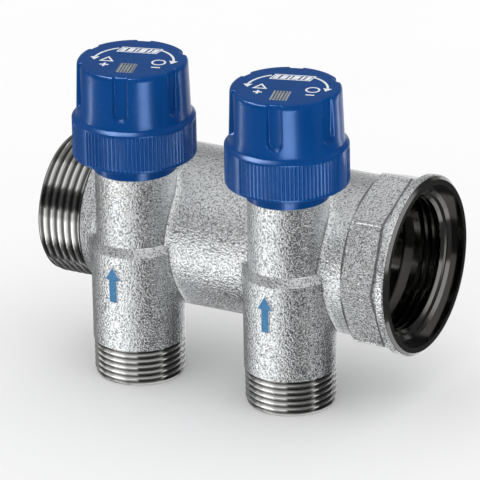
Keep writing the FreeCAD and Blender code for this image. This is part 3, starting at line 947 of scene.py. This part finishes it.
def stage_card(name: str, corners: Sequence[Sequence[float]],
               material: bpy.types.Material) -> bpy.types.Object:
    """Make one rectangle of the room round the object.

    Args:
        name: its name.
        corners: its four corners in order.
        material: its material.

    Returns:
        The new object.
    """
    data = bpy.data.meshes.new(name)
    data.from_pydata([tuple(corner) for corner in corners], [], [(0, 1, 2, 3)])
    data.materials.append(material)
    made = bpy.data.objects.new(name, data)
    bpy.context.scene.collection.objects.link(made)
    return made


def apply_modifiers(piece: bpy.types.Object) -> None:
    """Replace a piece's mesh by the one its modifiers make.

    Args:
        piece: the piece.
    """
    graph = bpy.context.evaluated_depsgraph_get()
    made = bpy.data.meshes.new_from_object(piece.evaluated_get(graph))
    piece.modifiers.clear()
    piece.data = made


def clean(piece: bpy.types.Object) -> None:
    """Merge doubled points, drop the faces that shrank to nothing, and point the rest outwards.

    Args:
        piece: the piece.
    """
    work = bmesh.new()
    work.from_mesh(piece.data)
    bmesh.ops.remove_doubles(work, verts=work.verts, dist=TINY)
    bmesh.ops.dissolve_degenerate(work, edges=work.edges, dist=TINY)
    bmesh.ops.recalc_face_normals(work, faces=work.faces)
    work.to_mesh(piece.data)
    work.free()


def upward(piece: bpy.types.Object) -> None:
    """Turn every face of a flat piece so that it looks up.

    Args:
        piece: the piece.
    """
    for face in piece.data.polygons:
        if face.normal.z < 0.0:
            face.flip()


def thicken(piece: bpy.types.Object, thickness: float) -> None:
    """Give a skin a thickness below its face, so that it is a closed solid.

    Args:
        piece: the skin.
        thickness: in metres.
    """
    solid = piece.modifiers.new("thickness", "SOLIDIFY")
    solid.thickness = thickness
    solid.offset = -1.0
    solid.use_even_offset = True


def smooth_step(value: np.ndarray, start: float, end: float) -> np.ndarray:
    """Smooth step over whole arrays: 0 at start, 1 at end."""
    t = np.clip((value - start) / (end - start), 0.0, 1.0)
    return t * t * (3.0 - 2.0 * t)


def nearest(turn: np.ndarray, first: float, count: int) -> np.ndarray:
    """Signed angle from the nearest of several evenly spaced directions.

    Args:
        turn: angles in radians.
        first: azimuth of the first direction in degrees.
        count: number of directions.

    Returns:
        Angles in radians, from minus to plus half a pitch.
    """
    pitch = 2.0 * math.pi / count
    return (turn - math.radians(first) + pitch / 2.0) % pitch - pitch / 2.0


def arc_points(centre: Range, radius: float, start: float, end: float,
               count: int) -> np.ndarray:
    """Points on an arc of a profile.

    Args:
        centre: (r, z) of its centre.
        radius: its radius.
        start: angle of its first point in degrees, from +r towards +z.
        end: angle of its last point.
        count: number of points.

    Returns:
        (count, 2) array of (r, z).
    """
    angles = np.radians(np.linspace(start, end, count))
    return np.stack([centre[0] + radius * np.cos(angles),
                     centre[1] + radius * np.sin(angles)], axis=1)


# ------------------------------------------------------------------ handwheel
@dataclass
class Handwheel:
    """Fluted drum on a ribbed skirt, moulded in one piece, with its hub inside."""

    number: int
    columns: int = 1080
    skirt_wall: float = 1.8 * MM
    skirt_height: float = 11.4 * MM
    skirt_round: float = 0.5 * MM
    skirt_drop: float = 0.1 * MM
    skirt_margin: float = 0.6 * MM
    chamfer_height: float = 1.6 * MM
    cove_out: tuple[float, ...] = (0.42 * MM, 0.16 * MM, 0.03 * MM)
    cove_down: tuple[float, ...] = (0.62 * MM, 0.42 * MM, 0.05 * MM)
    drum_step: float = 1.35 * MM
    drum_draft: float = 0.6 * MM
    drum_wall: float = 2.6 * MM
    drum_margin: float = 0.7 * MM
    side_rows: int = 34
    side_ends: Range = (0.6 * MM, 0.1 * MM)
    roof: float = 2.2 * MM
    ledge: Range = (1.0 * MM, 1.2 * MM)
    top_round: float = 1.15 * MM
    top_rings: tuple[float, ...] = (0.9, 0.5, 0.1, 0.0)
    lower_round: float = 0.4 * MM
    flute_count: int = 6
    flute_half_width: float = 2.45 * MM
    flute_depth: float = 1.2 * MM
    flute_foot: float = 15.3 * MM
    flute_azimuth: float = 16.0
    flute_bank: float = 0.76
    spoon_lift: float = 0.8
    spoon_squash: float = 1.15
    top_fade: float = 0.35
    fade_start: float = 0.62
    rib_count: int = 26
    rib_sector: float = 103.0
    rib_azimuth: float = 30.5
    rib_sectors: int = 3
    rib_depth: float = 0.32 * MM
    rib_sharpness: float = 1.5
    rib_low: float = 0.9 * MM
    rib_high: float = 10.95 * MM
    rib_rows: float = 0.3 * MM
    rib_fade: Range = (0.15 * MM, 0.2 * MM)
    hub_radius: float = 6.0 * MM
    hub_foot: float = 5.4 * MM
    socket_flats: float = 5.75 * MM
    socket_clearance: float = 0.3 * MM
    print_gap: float = 0.03 * MM
    pocket_size: Range = (5.1 * MM, 7.3 * MM)
    pocket_depth: float = 0.85 * MM
    pocket_place: float = 7.5 * MM
    sharp_angle: float = math.radians(40.0)

    def __post_init__(self) -> None:
        """Take the place and the overall sizes from the CAD node."""
        low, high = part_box(f"handwheel_{self.number}")
        self.centre = ((low.x + high.x) / 2.0, (low.y + high.y) / 2.0)
        self.radius = (high.x - low.x) / 2.0
        self.bottom = low.z
        self.top = high.z
        self.height = high.z - low.z - self.print_gap
        self.drum = self.radius - self.drum_step
        self.socket_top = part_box(f"stem_{self.number}")[1].z - low.z + self.socket_clearance

    def outside(self) -> np.ndarray:
        """Half section (r, z) from the foot over the skirt and the drum to the top's centre.

        The drum's radius falls in line from the skirt's height to the top; skirt, drum and top
        meet in arcs and a three-point cove.

        Returns:
            (n, 2) array, above the wheel's foot.
        """
        height, edge = self.height, self.drum - self.drum_draft - self.top_round
        foot = arc_points((self.radius - self.lower_round, self.lower_round),
                          self.lower_round, -90.0, 0.0, 5)
        rows = np.linspace(-self.rib_rows, self.rib_rows, 4)
        rows = np.concatenate([self.rib_low + rows, self.rib_high + rows])
        skirt = np.stack([np.full(len(rows), self.radius), rows], axis=1)
        shoulder = arc_points((self.radius - self.skirt_round,
                               self.skirt_height - self.skirt_drop),
                              self.skirt_round, 0.0, 50.0, 5)
        step = self.skirt_height + self.chamfer_height
        cove = np.stack([self.drum + np.array(self.cove_out),
                         step - np.array(self.cove_down)], axis=1)
        rise = np.linspace(self.flute_foot - self.side_ends[0],
                           height - self.top_round - self.side_ends[1], self.side_rows)
        slope = self.drum_draft / (height - self.skirt_height)
        side = np.stack([self.drum - slope * (rise - self.skirt_height), rise], axis=1)
        corner = arc_points((edge, height - self.top_round), self.top_round,
                            math.degrees(math.atan(slope)), 90.0, 9)
        face = np.stack([edge * np.array(self.top_rings),
                         np.full(len(self.top_rings), height)], axis=1)
        return np.concatenate([foot, skirt, shoulder, cove, side, corner, face])

    def cavity(self) -> np.ndarray:
        """Half section (r, z) from the socket's roof round the hub and down inside the skirt.

        Returns:
            (n, 2) array, above the wheel's foot.
        """
        roof = self.height - self.roof
        inner, skirt = self.drum - self.drum_wall, self.radius - self.skirt_wall
        below, above = self.ledge
        return np.array([
            [0.0, self.socket_top], [self.socket_flats / 2.0, self.socket_top],
            [self.socket_flats / 2.0, self.hub_foot], [self.hub_radius, self.hub_foot],
            [self.hub_radius, roof], [inner, roof], [inner, self.skirt_height + above],
            [skirt, self.skirt_height - below], [skirt, 0.0]])

    def flute(self, across: np.ndarray, height: np.ndarray) -> np.ndarray:
        """Depth of the nearest flute.

        With u the distance from the flute's middle line over its half width (below the spoon's
        centre, the distance from that centre), the depth falls from full where the bank begins
        to nothing at u = 1 by a smooth step, so the floor is flat and both banks are rounded.
        It also fades towards the top.

        Args:
            across: sideways distance from the flute's middle line.
            height: height above the wheel's foot.

        Returns:
            The depth in metres.
        """
        spoon = self.flute_foot + self.flute_half_width * self.spoon_lift
        below = np.minimum(height - spoon, 0.0)
        u = np.hypot(across, below * self.spoon_squash) / self.flute_half_width
        full = self.top - self.bottom
        fade = 1.0 - self.top_fade * smooth_step(height, self.fade_start * full, full)
        return self.flute_depth * fade * (1.0 - smooth_step(u, self.flute_bank, 1.0))

    def ribs(self, turn: np.ndarray, height: np.ndarray) -> np.ndarray:
        """Depth of the grooves between the skirt's ribs.

        In each sector it is a raised cosine of the angle, to a power that narrows the groove,
        one period to a rib; it fades at both ends of the ribbed band.

        Args:
            turn: angle about the stem.
            height: height above the wheel's foot.

        Returns:
            The depth in metres.
        """
        local = nearest(turn, self.rib_azimuth, self.rib_sectors)
        half = math.radians(self.rib_sector) / 2.0
        phase = (local + half) / (2.0 * half) * self.rib_count
        groove = (0.5 - 0.5 * np.cos(2.0 * math.pi * phase)) ** self.rib_sharpness
        near, far = self.rib_fade
        band = (smooth_step(height, self.rib_low - near, self.rib_low + near)
                * (1.0 - smooth_step(height, self.rib_high - near, self.rib_high + far)))
        return self.rib_depth * groove * (np.abs(local) < half) * band

    def surface(self) -> np.ndarray:
        """Points of the wheel: the profile turned about the stem, less flutes and ribs.

        Angle runs from -Y towards +X.  Flutes scale the top face inwards with its edge, and the
        socket's rows are square: half its flats over the larger of cosine and sine.

        Returns:
            (rows, columns, 3) array of places.
        """
        outside = self.outside()
        section = np.concatenate([outside, self.cavity()])
        angle = np.linspace(0.0, 2.0 * math.pi, self.columns, endpoint=False)
        r, z = (np.repeat(part[:, None], self.columns, axis=1) for part in section.T)
        turn = np.repeat(angle[None, :], len(section), axis=0)
        row = np.arange(len(section))[:, None]
        outer = row < len(outside)
        foot = self.skirt_height + self.chamfer_height - self.drum_margin
        on_drum = (z > foot) & outer
        across = self.drum * np.sin(nearest(turn, self.flute_azimuth, self.flute_count))
        depth = self.flute(across, z) * on_drum
        flat = (z > self.height - TINY) & on_drum
        edge = self.drum - self.drum_draft - self.top_round
        r = np.where(flat, r * (1.0 - depth / edge), r - depth)
        on_skirt = outer & (r > self.radius - self.skirt_margin)
        r = r - self.ribs(turn, z) * on_skirt
        square = self.socket_flats / 2.0 / np.maximum(np.abs(np.cos(turn)), np.abs(np.sin(turn)))
        first = len(outside) + 1
        r = np.where((row >= first) & (row < first + 2), square, r)
        return np.stack([self.centre[0] + r * np.sin(turn), self.centre[1] - r * np.cos(turn),
                         self.bottom + z], axis=-1)

    def on_top(self, flat: np.ndarray, height: float) -> np.ndarray:
        """Carry places from the wheel's own plane, +y away from the front flute, to the frame.

        Args:
            flat: (n, 2) array about the stem.
            height: their height in the frame.

        Returns:
            (n, 3) array of places.
        """
        turn = math.radians(self.flute_azimuth)
        x = self.centre[0] + flat[:, 0] * math.cos(turn) - flat[:, 1] * math.sin(turn)
        y = self.centre[1] + flat[:, 0] * math.sin(turn) + flat[:, 1] * math.cos(turn)
        return np.stack([x, y, np.full(len(flat), height)], axis=1)

    def sink_pocket(self, piece: bpy.types.Object) -> None:
        """Cut the rectangular pocket of the index plate into the top, towards the front flute.

        Args:
            piece: the wheel.
        """
        flat = np.array([[-1.0, -1.0], [1.0, -1.0], [1.0, 1.0], [-1.0, 1.0]])
        flat = flat * np.array(self.pocket_size) / 2.0 - np.array([0.0, self.pocket_place])
        corners = np.concatenate([self.on_top(flat, self.top - self.pocket_depth),
                                  self.on_top(flat, self.top + self.pocket_depth)])
        data = bpy.data.meshes.new("pocket")
        data.from_pydata(corners.tolist(), [], [(3, 2, 1, 0), (4, 5, 6, 7), (0, 1, 5, 4),
                                                (1, 2, 6, 5), (2, 3, 7, 6), (3, 0, 4, 7)])
        cutter = bpy.data.objects.new("pocket", data)
        bpy.context.scene.collection.objects.link(cutter)
        cut = piece.modifiers.new("pocket", "BOOLEAN")
        cut.operation = "DIFFERENCE"
        cut.solver = "EXACT"
        cut.object = cutter
        apply_modifiers(piece)
        bpy.data.objects.remove(cutter)
        bpy.data.meshes.remove(data)

    def build(self, finishes: Finishes) -> bpy.types.Object:
        """Make the wheel, closed at its foot, and let it stand for the CAD node.

        Args:
            finishes: the materials.

        Returns:
            The wheel.
        """
        points = self.surface()
        rows = points.shape[0]
        faces = grid_faces(rows, self.columns, True)
        close = grid_faces(2, self.columns, True)
        close = np.where(close >= self.columns, close - self.columns,
                         close + (rows - 1) * self.columns)
        piece = mesh_piece(f"wheel_{self.number}", points.reshape(-1, 3),
                           np.concatenate([faces, close]), finishes.blue,
                           f"spindle_{self.number}")
        clean(piece)
        self.sink_pocket(piece)
        piece.data.set_sharp_from_angle(angle=self.sharp_angle)
        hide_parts(f"handwheel_{self.number}")
        return piece


# ------------------------------------------------------------------ prints on the handwheel
@dataclass
class TopPrint:
    """White marks on a handwheel's top: two turning arrows, open and closed signs with + and -
    under them, and a slanted block of bars at the back."""

    wheel: Handwheel
    thickness: float = 0.028 * MM
    nudge: Range = (0.6 * MM, 0.1 * MM)
    arc_radii: Range = (9.8 * MM, 11.6 * MM)
    arc_angles: Range = (40.0, 91.0)
    arc_rows: int = 24
    arc_half_width: float = 0.34 * MM
    head_half_width: float = 1.35 * MM
    head_length: float = 2.3 * MM
    head_jump: float = 0.001
    head_point: float = 1e-5 * MM
    sign_place: Range = (7.6 * MM, -1.9 * MM)
    sign_radius: float = 2.15 * MM
    sign_stroke: float = 1.6
    ring_sides: int = 32
    triangle_swell: float = 1.2
    mark_place: Range = (7.6 * MM, -5.9 * MM)
    mark_half: float = 1.3 * MM
    stroke: float = 0.34 * MM
    block_place: float = 6.7 * MM
    block_half: Range = (6.0 * MM, 2.0 * MM)
    block_slant: float = 0.55 * MM
    block_shift: float = 0.88
    block_rim: float = 0.22 * MM
    block_margin: float = 3.2
    bar_edges: tuple[float, ...] = (-5.3, -3.9, -3.3, -1.6, -1.1, -0.4, 0.1, 2.0, 2.6, 3.4, 3.9,
                                    5.3)

    def turning_arrow(self, turn: Turn) -> Shape:
        """Arc from near the back round one side, with a head that tapers to a point.

        Its radius grows evenly with the angle; the half width is constant along the arc, jumps
        to the head's within a thousandth of a degree and falls in line to nothing.  The edges
        lie half a width to each side.

        Args:
            turn: the side it goes round.

        Returns:
            Its points and faces.
        """
        start, end = self.arc_angles
        head = math.degrees(self.head_length / self.arc_radii[1])
        angle = np.concatenate([np.linspace(start, end, self.arc_rows),
                                [end + self.head_jump, end + head]])
        radius = np.interp(angle, self.arc_angles, self.arc_radii)
        turned = np.radians(angle)
        middle = np.stack([-turn.value * radius * np.sin(turned), radius * np.cos(turned)], axis=1)
        half = np.concatenate([np.full(self.arc_rows, self.arc_half_width),
                               [self.head_half_width, self.head_point]])
        along = np.gradient(middle, axis=0)
        along /= np.linalg.norm(along, axis=1, keepdims=True)
        across = np.stack([-along[:, 1], along[:, 0]], axis=1) * half[:, None]
        edges = np.stack([middle + across, middle - across], axis=1)
        return edges.reshape(-1, 2), grid_faces(len(middle), 2, False)

    def polygon(self, centre: Range, sides: int, radius: float) -> Shape:
        """Outline of a regular polygon with a corner at the back.

        Args:
            centre: its centre.
            sides: its number of sides.
            radius: distance of its outer corners.

        Returns:
            Its outer and inner corners, and the faces between them.
        """
        angle = np.radians(np.arange(sides) * 360.0 / sides + 90.0)
        inner = radius - self.stroke * self.sign_stroke / math.cos(math.pi / sides)
        rings = np.array([radius, inner])[:, None, None]
        unit = np.stack([np.cos(angle), np.sin(angle)], axis=1)[None]
        return (rings * unit + np.array(centre)).reshape(-1, 2), grid_faces(2, sides, True)

    def bar(self, centre: Range, half: Range, slant: float = 0.0) -> Shape:
        """Slanted bar.

        Args:
            centre: its centre.
            half: its half width and half height.
            slant: how far its upper edge is moved right, and its lower edge left.

        Returns:
            Its points and faces.
        """
        x, y = centre
        a, b = half
        corners = np.array([[x - a - slant, y - b], [x + a - slant, y - b],
                            [x - a + slant, y + b], [x + a + slant, y + b]])
        return corners, np.array([[0, 1, 3, 2]])

    def block(self) -> list[Shape]:
        """Slanted frame filled with bars of uneven width.

        Returns:
            Its bars.
        """
        width, height = self.block_half
        rim, slant, place = self.block_rim, self.block_slant, self.block_place
        lean = slant * (height - rim) / height
        shapes = [self.bar((side * slant * self.block_shift, place + side * (height - rim)),
                           (width, rim)) for side in (-1.0, 1.0)]
        shapes += [self.bar((side * (width - rim), place), (rim, height - 2.0 * rim), lean)
                   for side in (-1.0, 1.0)]
        inner = height - self.block_margin * rim
        for low, high in zip(self.bar_edges[::2], self.bar_edges[1::2]):
            middle, half = (low + high) / 2.0 * MM, (high - low) / 2.0 * MM
            shapes.append(self.bar((middle, place), (half, inner), slant * inner / height))
        return shapes

    def marks(self) -> list[Shape]:
        """Every mark in the wheel's own plane, +y away from the front flute.

        Returns:
            The marks' points and faces.
        """
        x, y = self.sign_place
        a, b = self.mark_place
        arm, reach = ((self.mark_half + side * self.stroke) / 2.0 for side in (-1.0, 1.0))
        shapes = [self.turning_arrow(turn) for turn in Turn]
        shapes += [self.polygon((-x, y), 3, self.sign_radius * self.triangle_swell),
                   self.polygon((x, y), self.ring_sides, self.sign_radius)]
        shapes += [self.bar((side * a, b), (self.mark_half, self.stroke))
                   for side in (-1.0, 1.0)]
        shapes += [self.bar((-a, b + side * reach), (self.stroke, arm)) for side in (1.0, -1.0)]
        return shapes + self.block()

    def build(self, finishes: Finishes) -> bpy.types.Object:
        """Place the marks on the wheel's top as one thin white piece.

        Args:
            finishes: the materials.

        Returns:
            The print.
        """
        shapes = self.marks()
        starts = np.cumsum([0] + [len(points) for points, _ in shapes])
        flat = np.concatenate([points for points, _ in shapes]) + np.array(self.nudge)
        faces = np.concatenate([quads + start for (_, quads), start in zip(shapes, starts)])
        piece = mesh_piece(f"top_print_{self.wheel.number}",
                           self.wheel.on_top(flat, self.wheel.top), faces, finishes.white_ink,
                           f"spindle_{self.wheel.number}", smooth=False)
        clean(piece)
        upward(piece)
        thicken(piece, self.thickness)
        return piece


# ------------------------------------------------------------------ arrow on a tower
@dataclass
class FlowArrow:
    """Coloured face of the raised arrow on a tower's front."""

    number: int
    azimuth: float = -3.0
    radius: float = 13.4705 * MM
    relief: float = 0.3 * MM
    skin: float = 0.03 * MM
    tip: float = -3.2 * MM
    length: float = 11.3 * MM
    head_length: float = 4.4 * MM
    head_width: float = 5.6 * MM
    shaft_width: float = 2.6 * MM
    inset: float = 0.12 * MM
    point: float = 0.001 * MM
    rows: int = 14
    columns: int = 9

    def build(self, finishes: Finishes, centre: Range) -> bpy.types.Object:
        """Wrap the arrow on its cylinder.

        A point lies at the cylinder's radius, at an angle of its sideways distance over that
        radius; the half width is the shaft's up to the head, then the head's, falling in line
        to nothing at the tip.

        Args:
            finishes: the materials.
            centre: (x, y) of the tower's axis.

        Returns:
            The arrow's face.
        """
        tail = self.tip - self.length + self.inset
        neck = self.tip - self.head_length + self.inset
        z = np.concatenate([np.linspace(tail, neck, self.rows),
                            np.linspace(neck + TINY, self.tip - 2.0 * self.inset, self.rows)])
        head = (self.tip - self.inset - z) / self.head_length * self.head_width / 2.0
        half = np.where(z > neck, head, self.shaft_width / 2.0) - self.inset
        half = np.maximum(half, self.point)
        across = np.linspace(-1.0, 1.0, self.columns)[None, :] * half[:, None]
        outer = self.radius + self.relief + self.skin
        angle = across / outer + math.radians(self.azimuth)
        points = np.stack([centre[0] + outer * np.sin(angle), centre[1] - outer * np.cos(angle),
                           np.repeat(z[:, None], self.columns, axis=1)], axis=-1)
        piece = mesh_piece(f"arrow_face_{self.number}", points.reshape(-1, 3),
                           grid_faces(len(z), self.columns, False), finishes.arrow_ink,
                           "manifold")
        thicken(piece, self.skin)
        return piece


# ------------------------------------------------------------------ room
def direction(azimuth: float, elevation: float) -> tuple[Vector, Vector]:
    """Direction away from the origin, and the level direction to its right.

    Args:
        azimuth: in radians, from -Y towards +X.
        elevation: in radians, up from level.

    Returns:
        Two unit vectors.
    """
    away = Vector((math.sin(azimuth) * math.cos(elevation),
                   -math.cos(azimuth) * math.cos(elevation), math.sin(elevation)))
    return away, Vector((math.cos(azimuth), math.sin(azimuth), 0.0))


@dataclass(frozen=True)
class Card:
    """Card round the object, seen only in reflections.

    It faces the bar's middle from an azimuth (from -Y towards +X) and an elevation in degrees,
    at a distance; width and height are in metres.  A card for the mouldings lights the blue
    plastic only; the others show in everything: one bright, the rest dark.
    """

    azimuth: float
    elevation: float
    distance: float
    width: float
    height: float
    strength: float
    for_mouldings: bool = False

    def build(self, number: int, lit: bpy.types.Collection) -> None:
        """Make the card as an emitting rectangle.

        Args:
            number: its number, for its name.
            lit: the mouldings.
        """
        away, side = direction(math.radians(self.azimuth), math.radians(self.elevation))
        up = away.cross(side)
        middle = away * self.distance
        across, tall = side * self.width / 2.0, up * self.height / 2.0
        material = bpy.data.materials.new(f"card_light_{number}")
        material.use_nodes = True
        material.node_tree.nodes.clear()
        graph = Graph(material.node_tree)
        light = graph.node("Emission")
        light.inputs["Strength"].default_value = self.strength
        graph.feed(graph.node("OutputMaterial").inputs["Surface"], light.outputs[0])
        card = stage_card(f"card_{number}", (middle - across - tall, middle + across - tall,
                                             middle + across + tall, middle - across + tall),
                          material)
        card.visible_camera = False
        card.visible_diffuse = False
        card.visible_shadow = False
        card.visible_transmission = False
        if self.for_mouldings:
            card.light_linking.receiver_collection = lit


@dataclass
class Studio:
    """White room with even daylight, and cards that give metal and plastic something to show."""

    floor_level: float
    floor_size: float = 6.0
    floor_patch: float = 50.0 * MM
    floor_colours: tuple[Colour, Colour] = ((0.98, 0.98, 0.98), (1.0, 1.0, 1.0))
    floor_roughness: float = 0.9
    white: float = 1.0
    daylight: float = 1.0
    cards: tuple[Card, ...] = (
        Card(-32.0, -26.0, 0.5, 0.30, 0.28, 2.1),
        Card(52.0, -22.0, 0.5, 0.58, 0.42, 0.10),
        Card(-118.0, 62.0, 0.5, 0.34, 0.22, 0.35),
        Card(132.0, -12.0, 0.5, 0.62, 1.1, 0.08),
        Card(-56.0, -64.0, 0.5, 0.5, 0.3, 0.12),
        Card(-112.0, -14.0, 0.5, 0.7, 0.9, 0.28),
        Card(-163.0, 27.0, 0.6, 0.9, 0.46, 0.30),
        Card(-25.0, 18.0, 0.6, 0.60, 0.34, 0.06),
        Card(-58.0, 0.0, 0.13, 0.010, 0.09, 20.0, True),
        Card(36.0, 0.0, 0.13, 0.044, 0.09, 29.0, True),
        Card(137.0, 0.0, 0.13, 0.008, 0.09, 15.0, True),
        Card(-45.0, 60.0, 0.21, 0.09, 0.05, 60.0, True),
        Card(-12.0, 70.0, 0.21, 0.04, 0.04, 60.0, True),
    )

    def world(self) -> None:
        """World: white in the camera's, glossy and transmission rays, daylight in the others."""
        world = bpy.data.worlds.new("studio")
        bpy.context.scene.world = world
        world.use_nodes = True
        world.node_tree.nodes.clear()
        graph = Graph(world.node_tree)
        path = graph.node("LightPath")
        shown = graph.largest(path.outputs["Is Camera Ray"], path.outputs["Is Glossy Ray"],
                              path.outputs["Is Transmission Ray"])
        room = graph.node("Background")
        graph.feed(room.inputs["Strength"], graph.lerp(shown, self.daylight, self.white))
        room.inputs["Color"].default_value = (1.0, 1.0, 1.0, 1.0)
        graph.feed(graph.node("OutputWorld").inputs["Surface"], room.outputs[0])

    def floor(self) -> None:
        """Pale floor just under the outlets, out of the metal's reflections."""
        material, graph, shader = new_material("studio_floor")
        patch = graph.noise(graph.coordinates(), 1.0 / self.floor_patch)
        graph.feed(shader.inputs["Base Color"], graph.blend(patch, *self.floor_colours))
        shader.inputs["Roughness"].default_value = self.floor_roughness
        shader.inputs["Specular IOR Level"].default_value = 0.0
        half, level = self.floor_size, self.floor_level
        floor = stage_card("floor", ((-half, -half, level), (half, -half, level),
                                     (half, half, level), (-half, half, level)), material)
        floor.visible_glossy = False

    def build(self, mouldings: Sequence[bpy.types.Object]) -> None:
        """Make the room; the metal mirrors it and the casting, but no moulding or valve piece.

        Args:
            mouldings: the blue pieces that the small cards light.
        """
        self.world()
        self.floor()
        lit = bpy.data.collections.new("mouldings")
        for piece in mouldings:
            lit.objects.link(piece)
            piece.visible_glossy = False
        for name, node in FRAME["nodes"].items():
            if not name.startswith("manifold"):
                node.visible_glossy = False
        for number, card in enumerate(self.cards, 1):
            card.build(number, lit)


@dataclass(frozen=True)
class Viewpoint:
    """Long-lens camera in front of the bar, to the right and above."""

    azimuth: float = 28.84
    elevation: float = 22.67
    roll: float = -1.167
    distance: float = 1.9004
    lens: float = 488.8
    shift_right: float = -1.310 * MM
    shift_up: float = -2.417 * MM
    clip: Range = (0.05, 30.0)

    def build(self) -> None:
        """Make the camera from its angles: it looks at the origin from the distance, is moved a
        little in its own plane and rolled about its line of sight."""
        back, right = direction(math.radians(self.azimuth), math.radians(self.elevation))
        up = back.cross(right)
        roll = math.radians(self.roll)
        side = math.cos(roll) * right + math.sin(roll) * up
        top = -math.sin(roll) * right + math.cos(roll) * up
        place = back * self.distance + side * self.shift_right + top * self.shift_up
        data = bpy.data.cameras.new("camera")
        data.lens = self.lens
        data.clip_start, data.clip_end = self.clip
        camera = bpy.data.objects.new("camera", data)
        bpy.context.scene.collection.objects.link(camera)
        axes = Matrix((side, top, back)).transposed().to_4x4()
        camera.matrix_world = Matrix.Translation(place) @ axes
        bpy.context.scene.camera = camera


def main() -> None:
    """Build the object, then the room round it."""
    logging.basicConfig(level=logging.INFO)
    bpy.context.scene.view_settings.view_transform = "Standard"
    finishes = Finishes()
    finishes.dress_cad()
    mouldings: list[bpy.types.Object] = []
    for number in (1, 2):
        wheel = Handwheel(number)
        pieces = [wheel.build(finishes), TopPrint(wheel).build(finishes),
                  FlowArrow(number).build(finishes, wheel.centre)]
        mouldings += [pieces[0], FRAME["nodes"][f"base_collar_{number}"]]
        for piece in pieces:
            LOG.info("%s: %d faces", piece.name, len(piece.data.polygons))
    low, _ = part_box("manifold_tower_1")
    Studio(floor_level=low.z - 0.05 * MM).build(mouldings)
    Viewpoint().build()


if __name__ == "__main__":
    main()
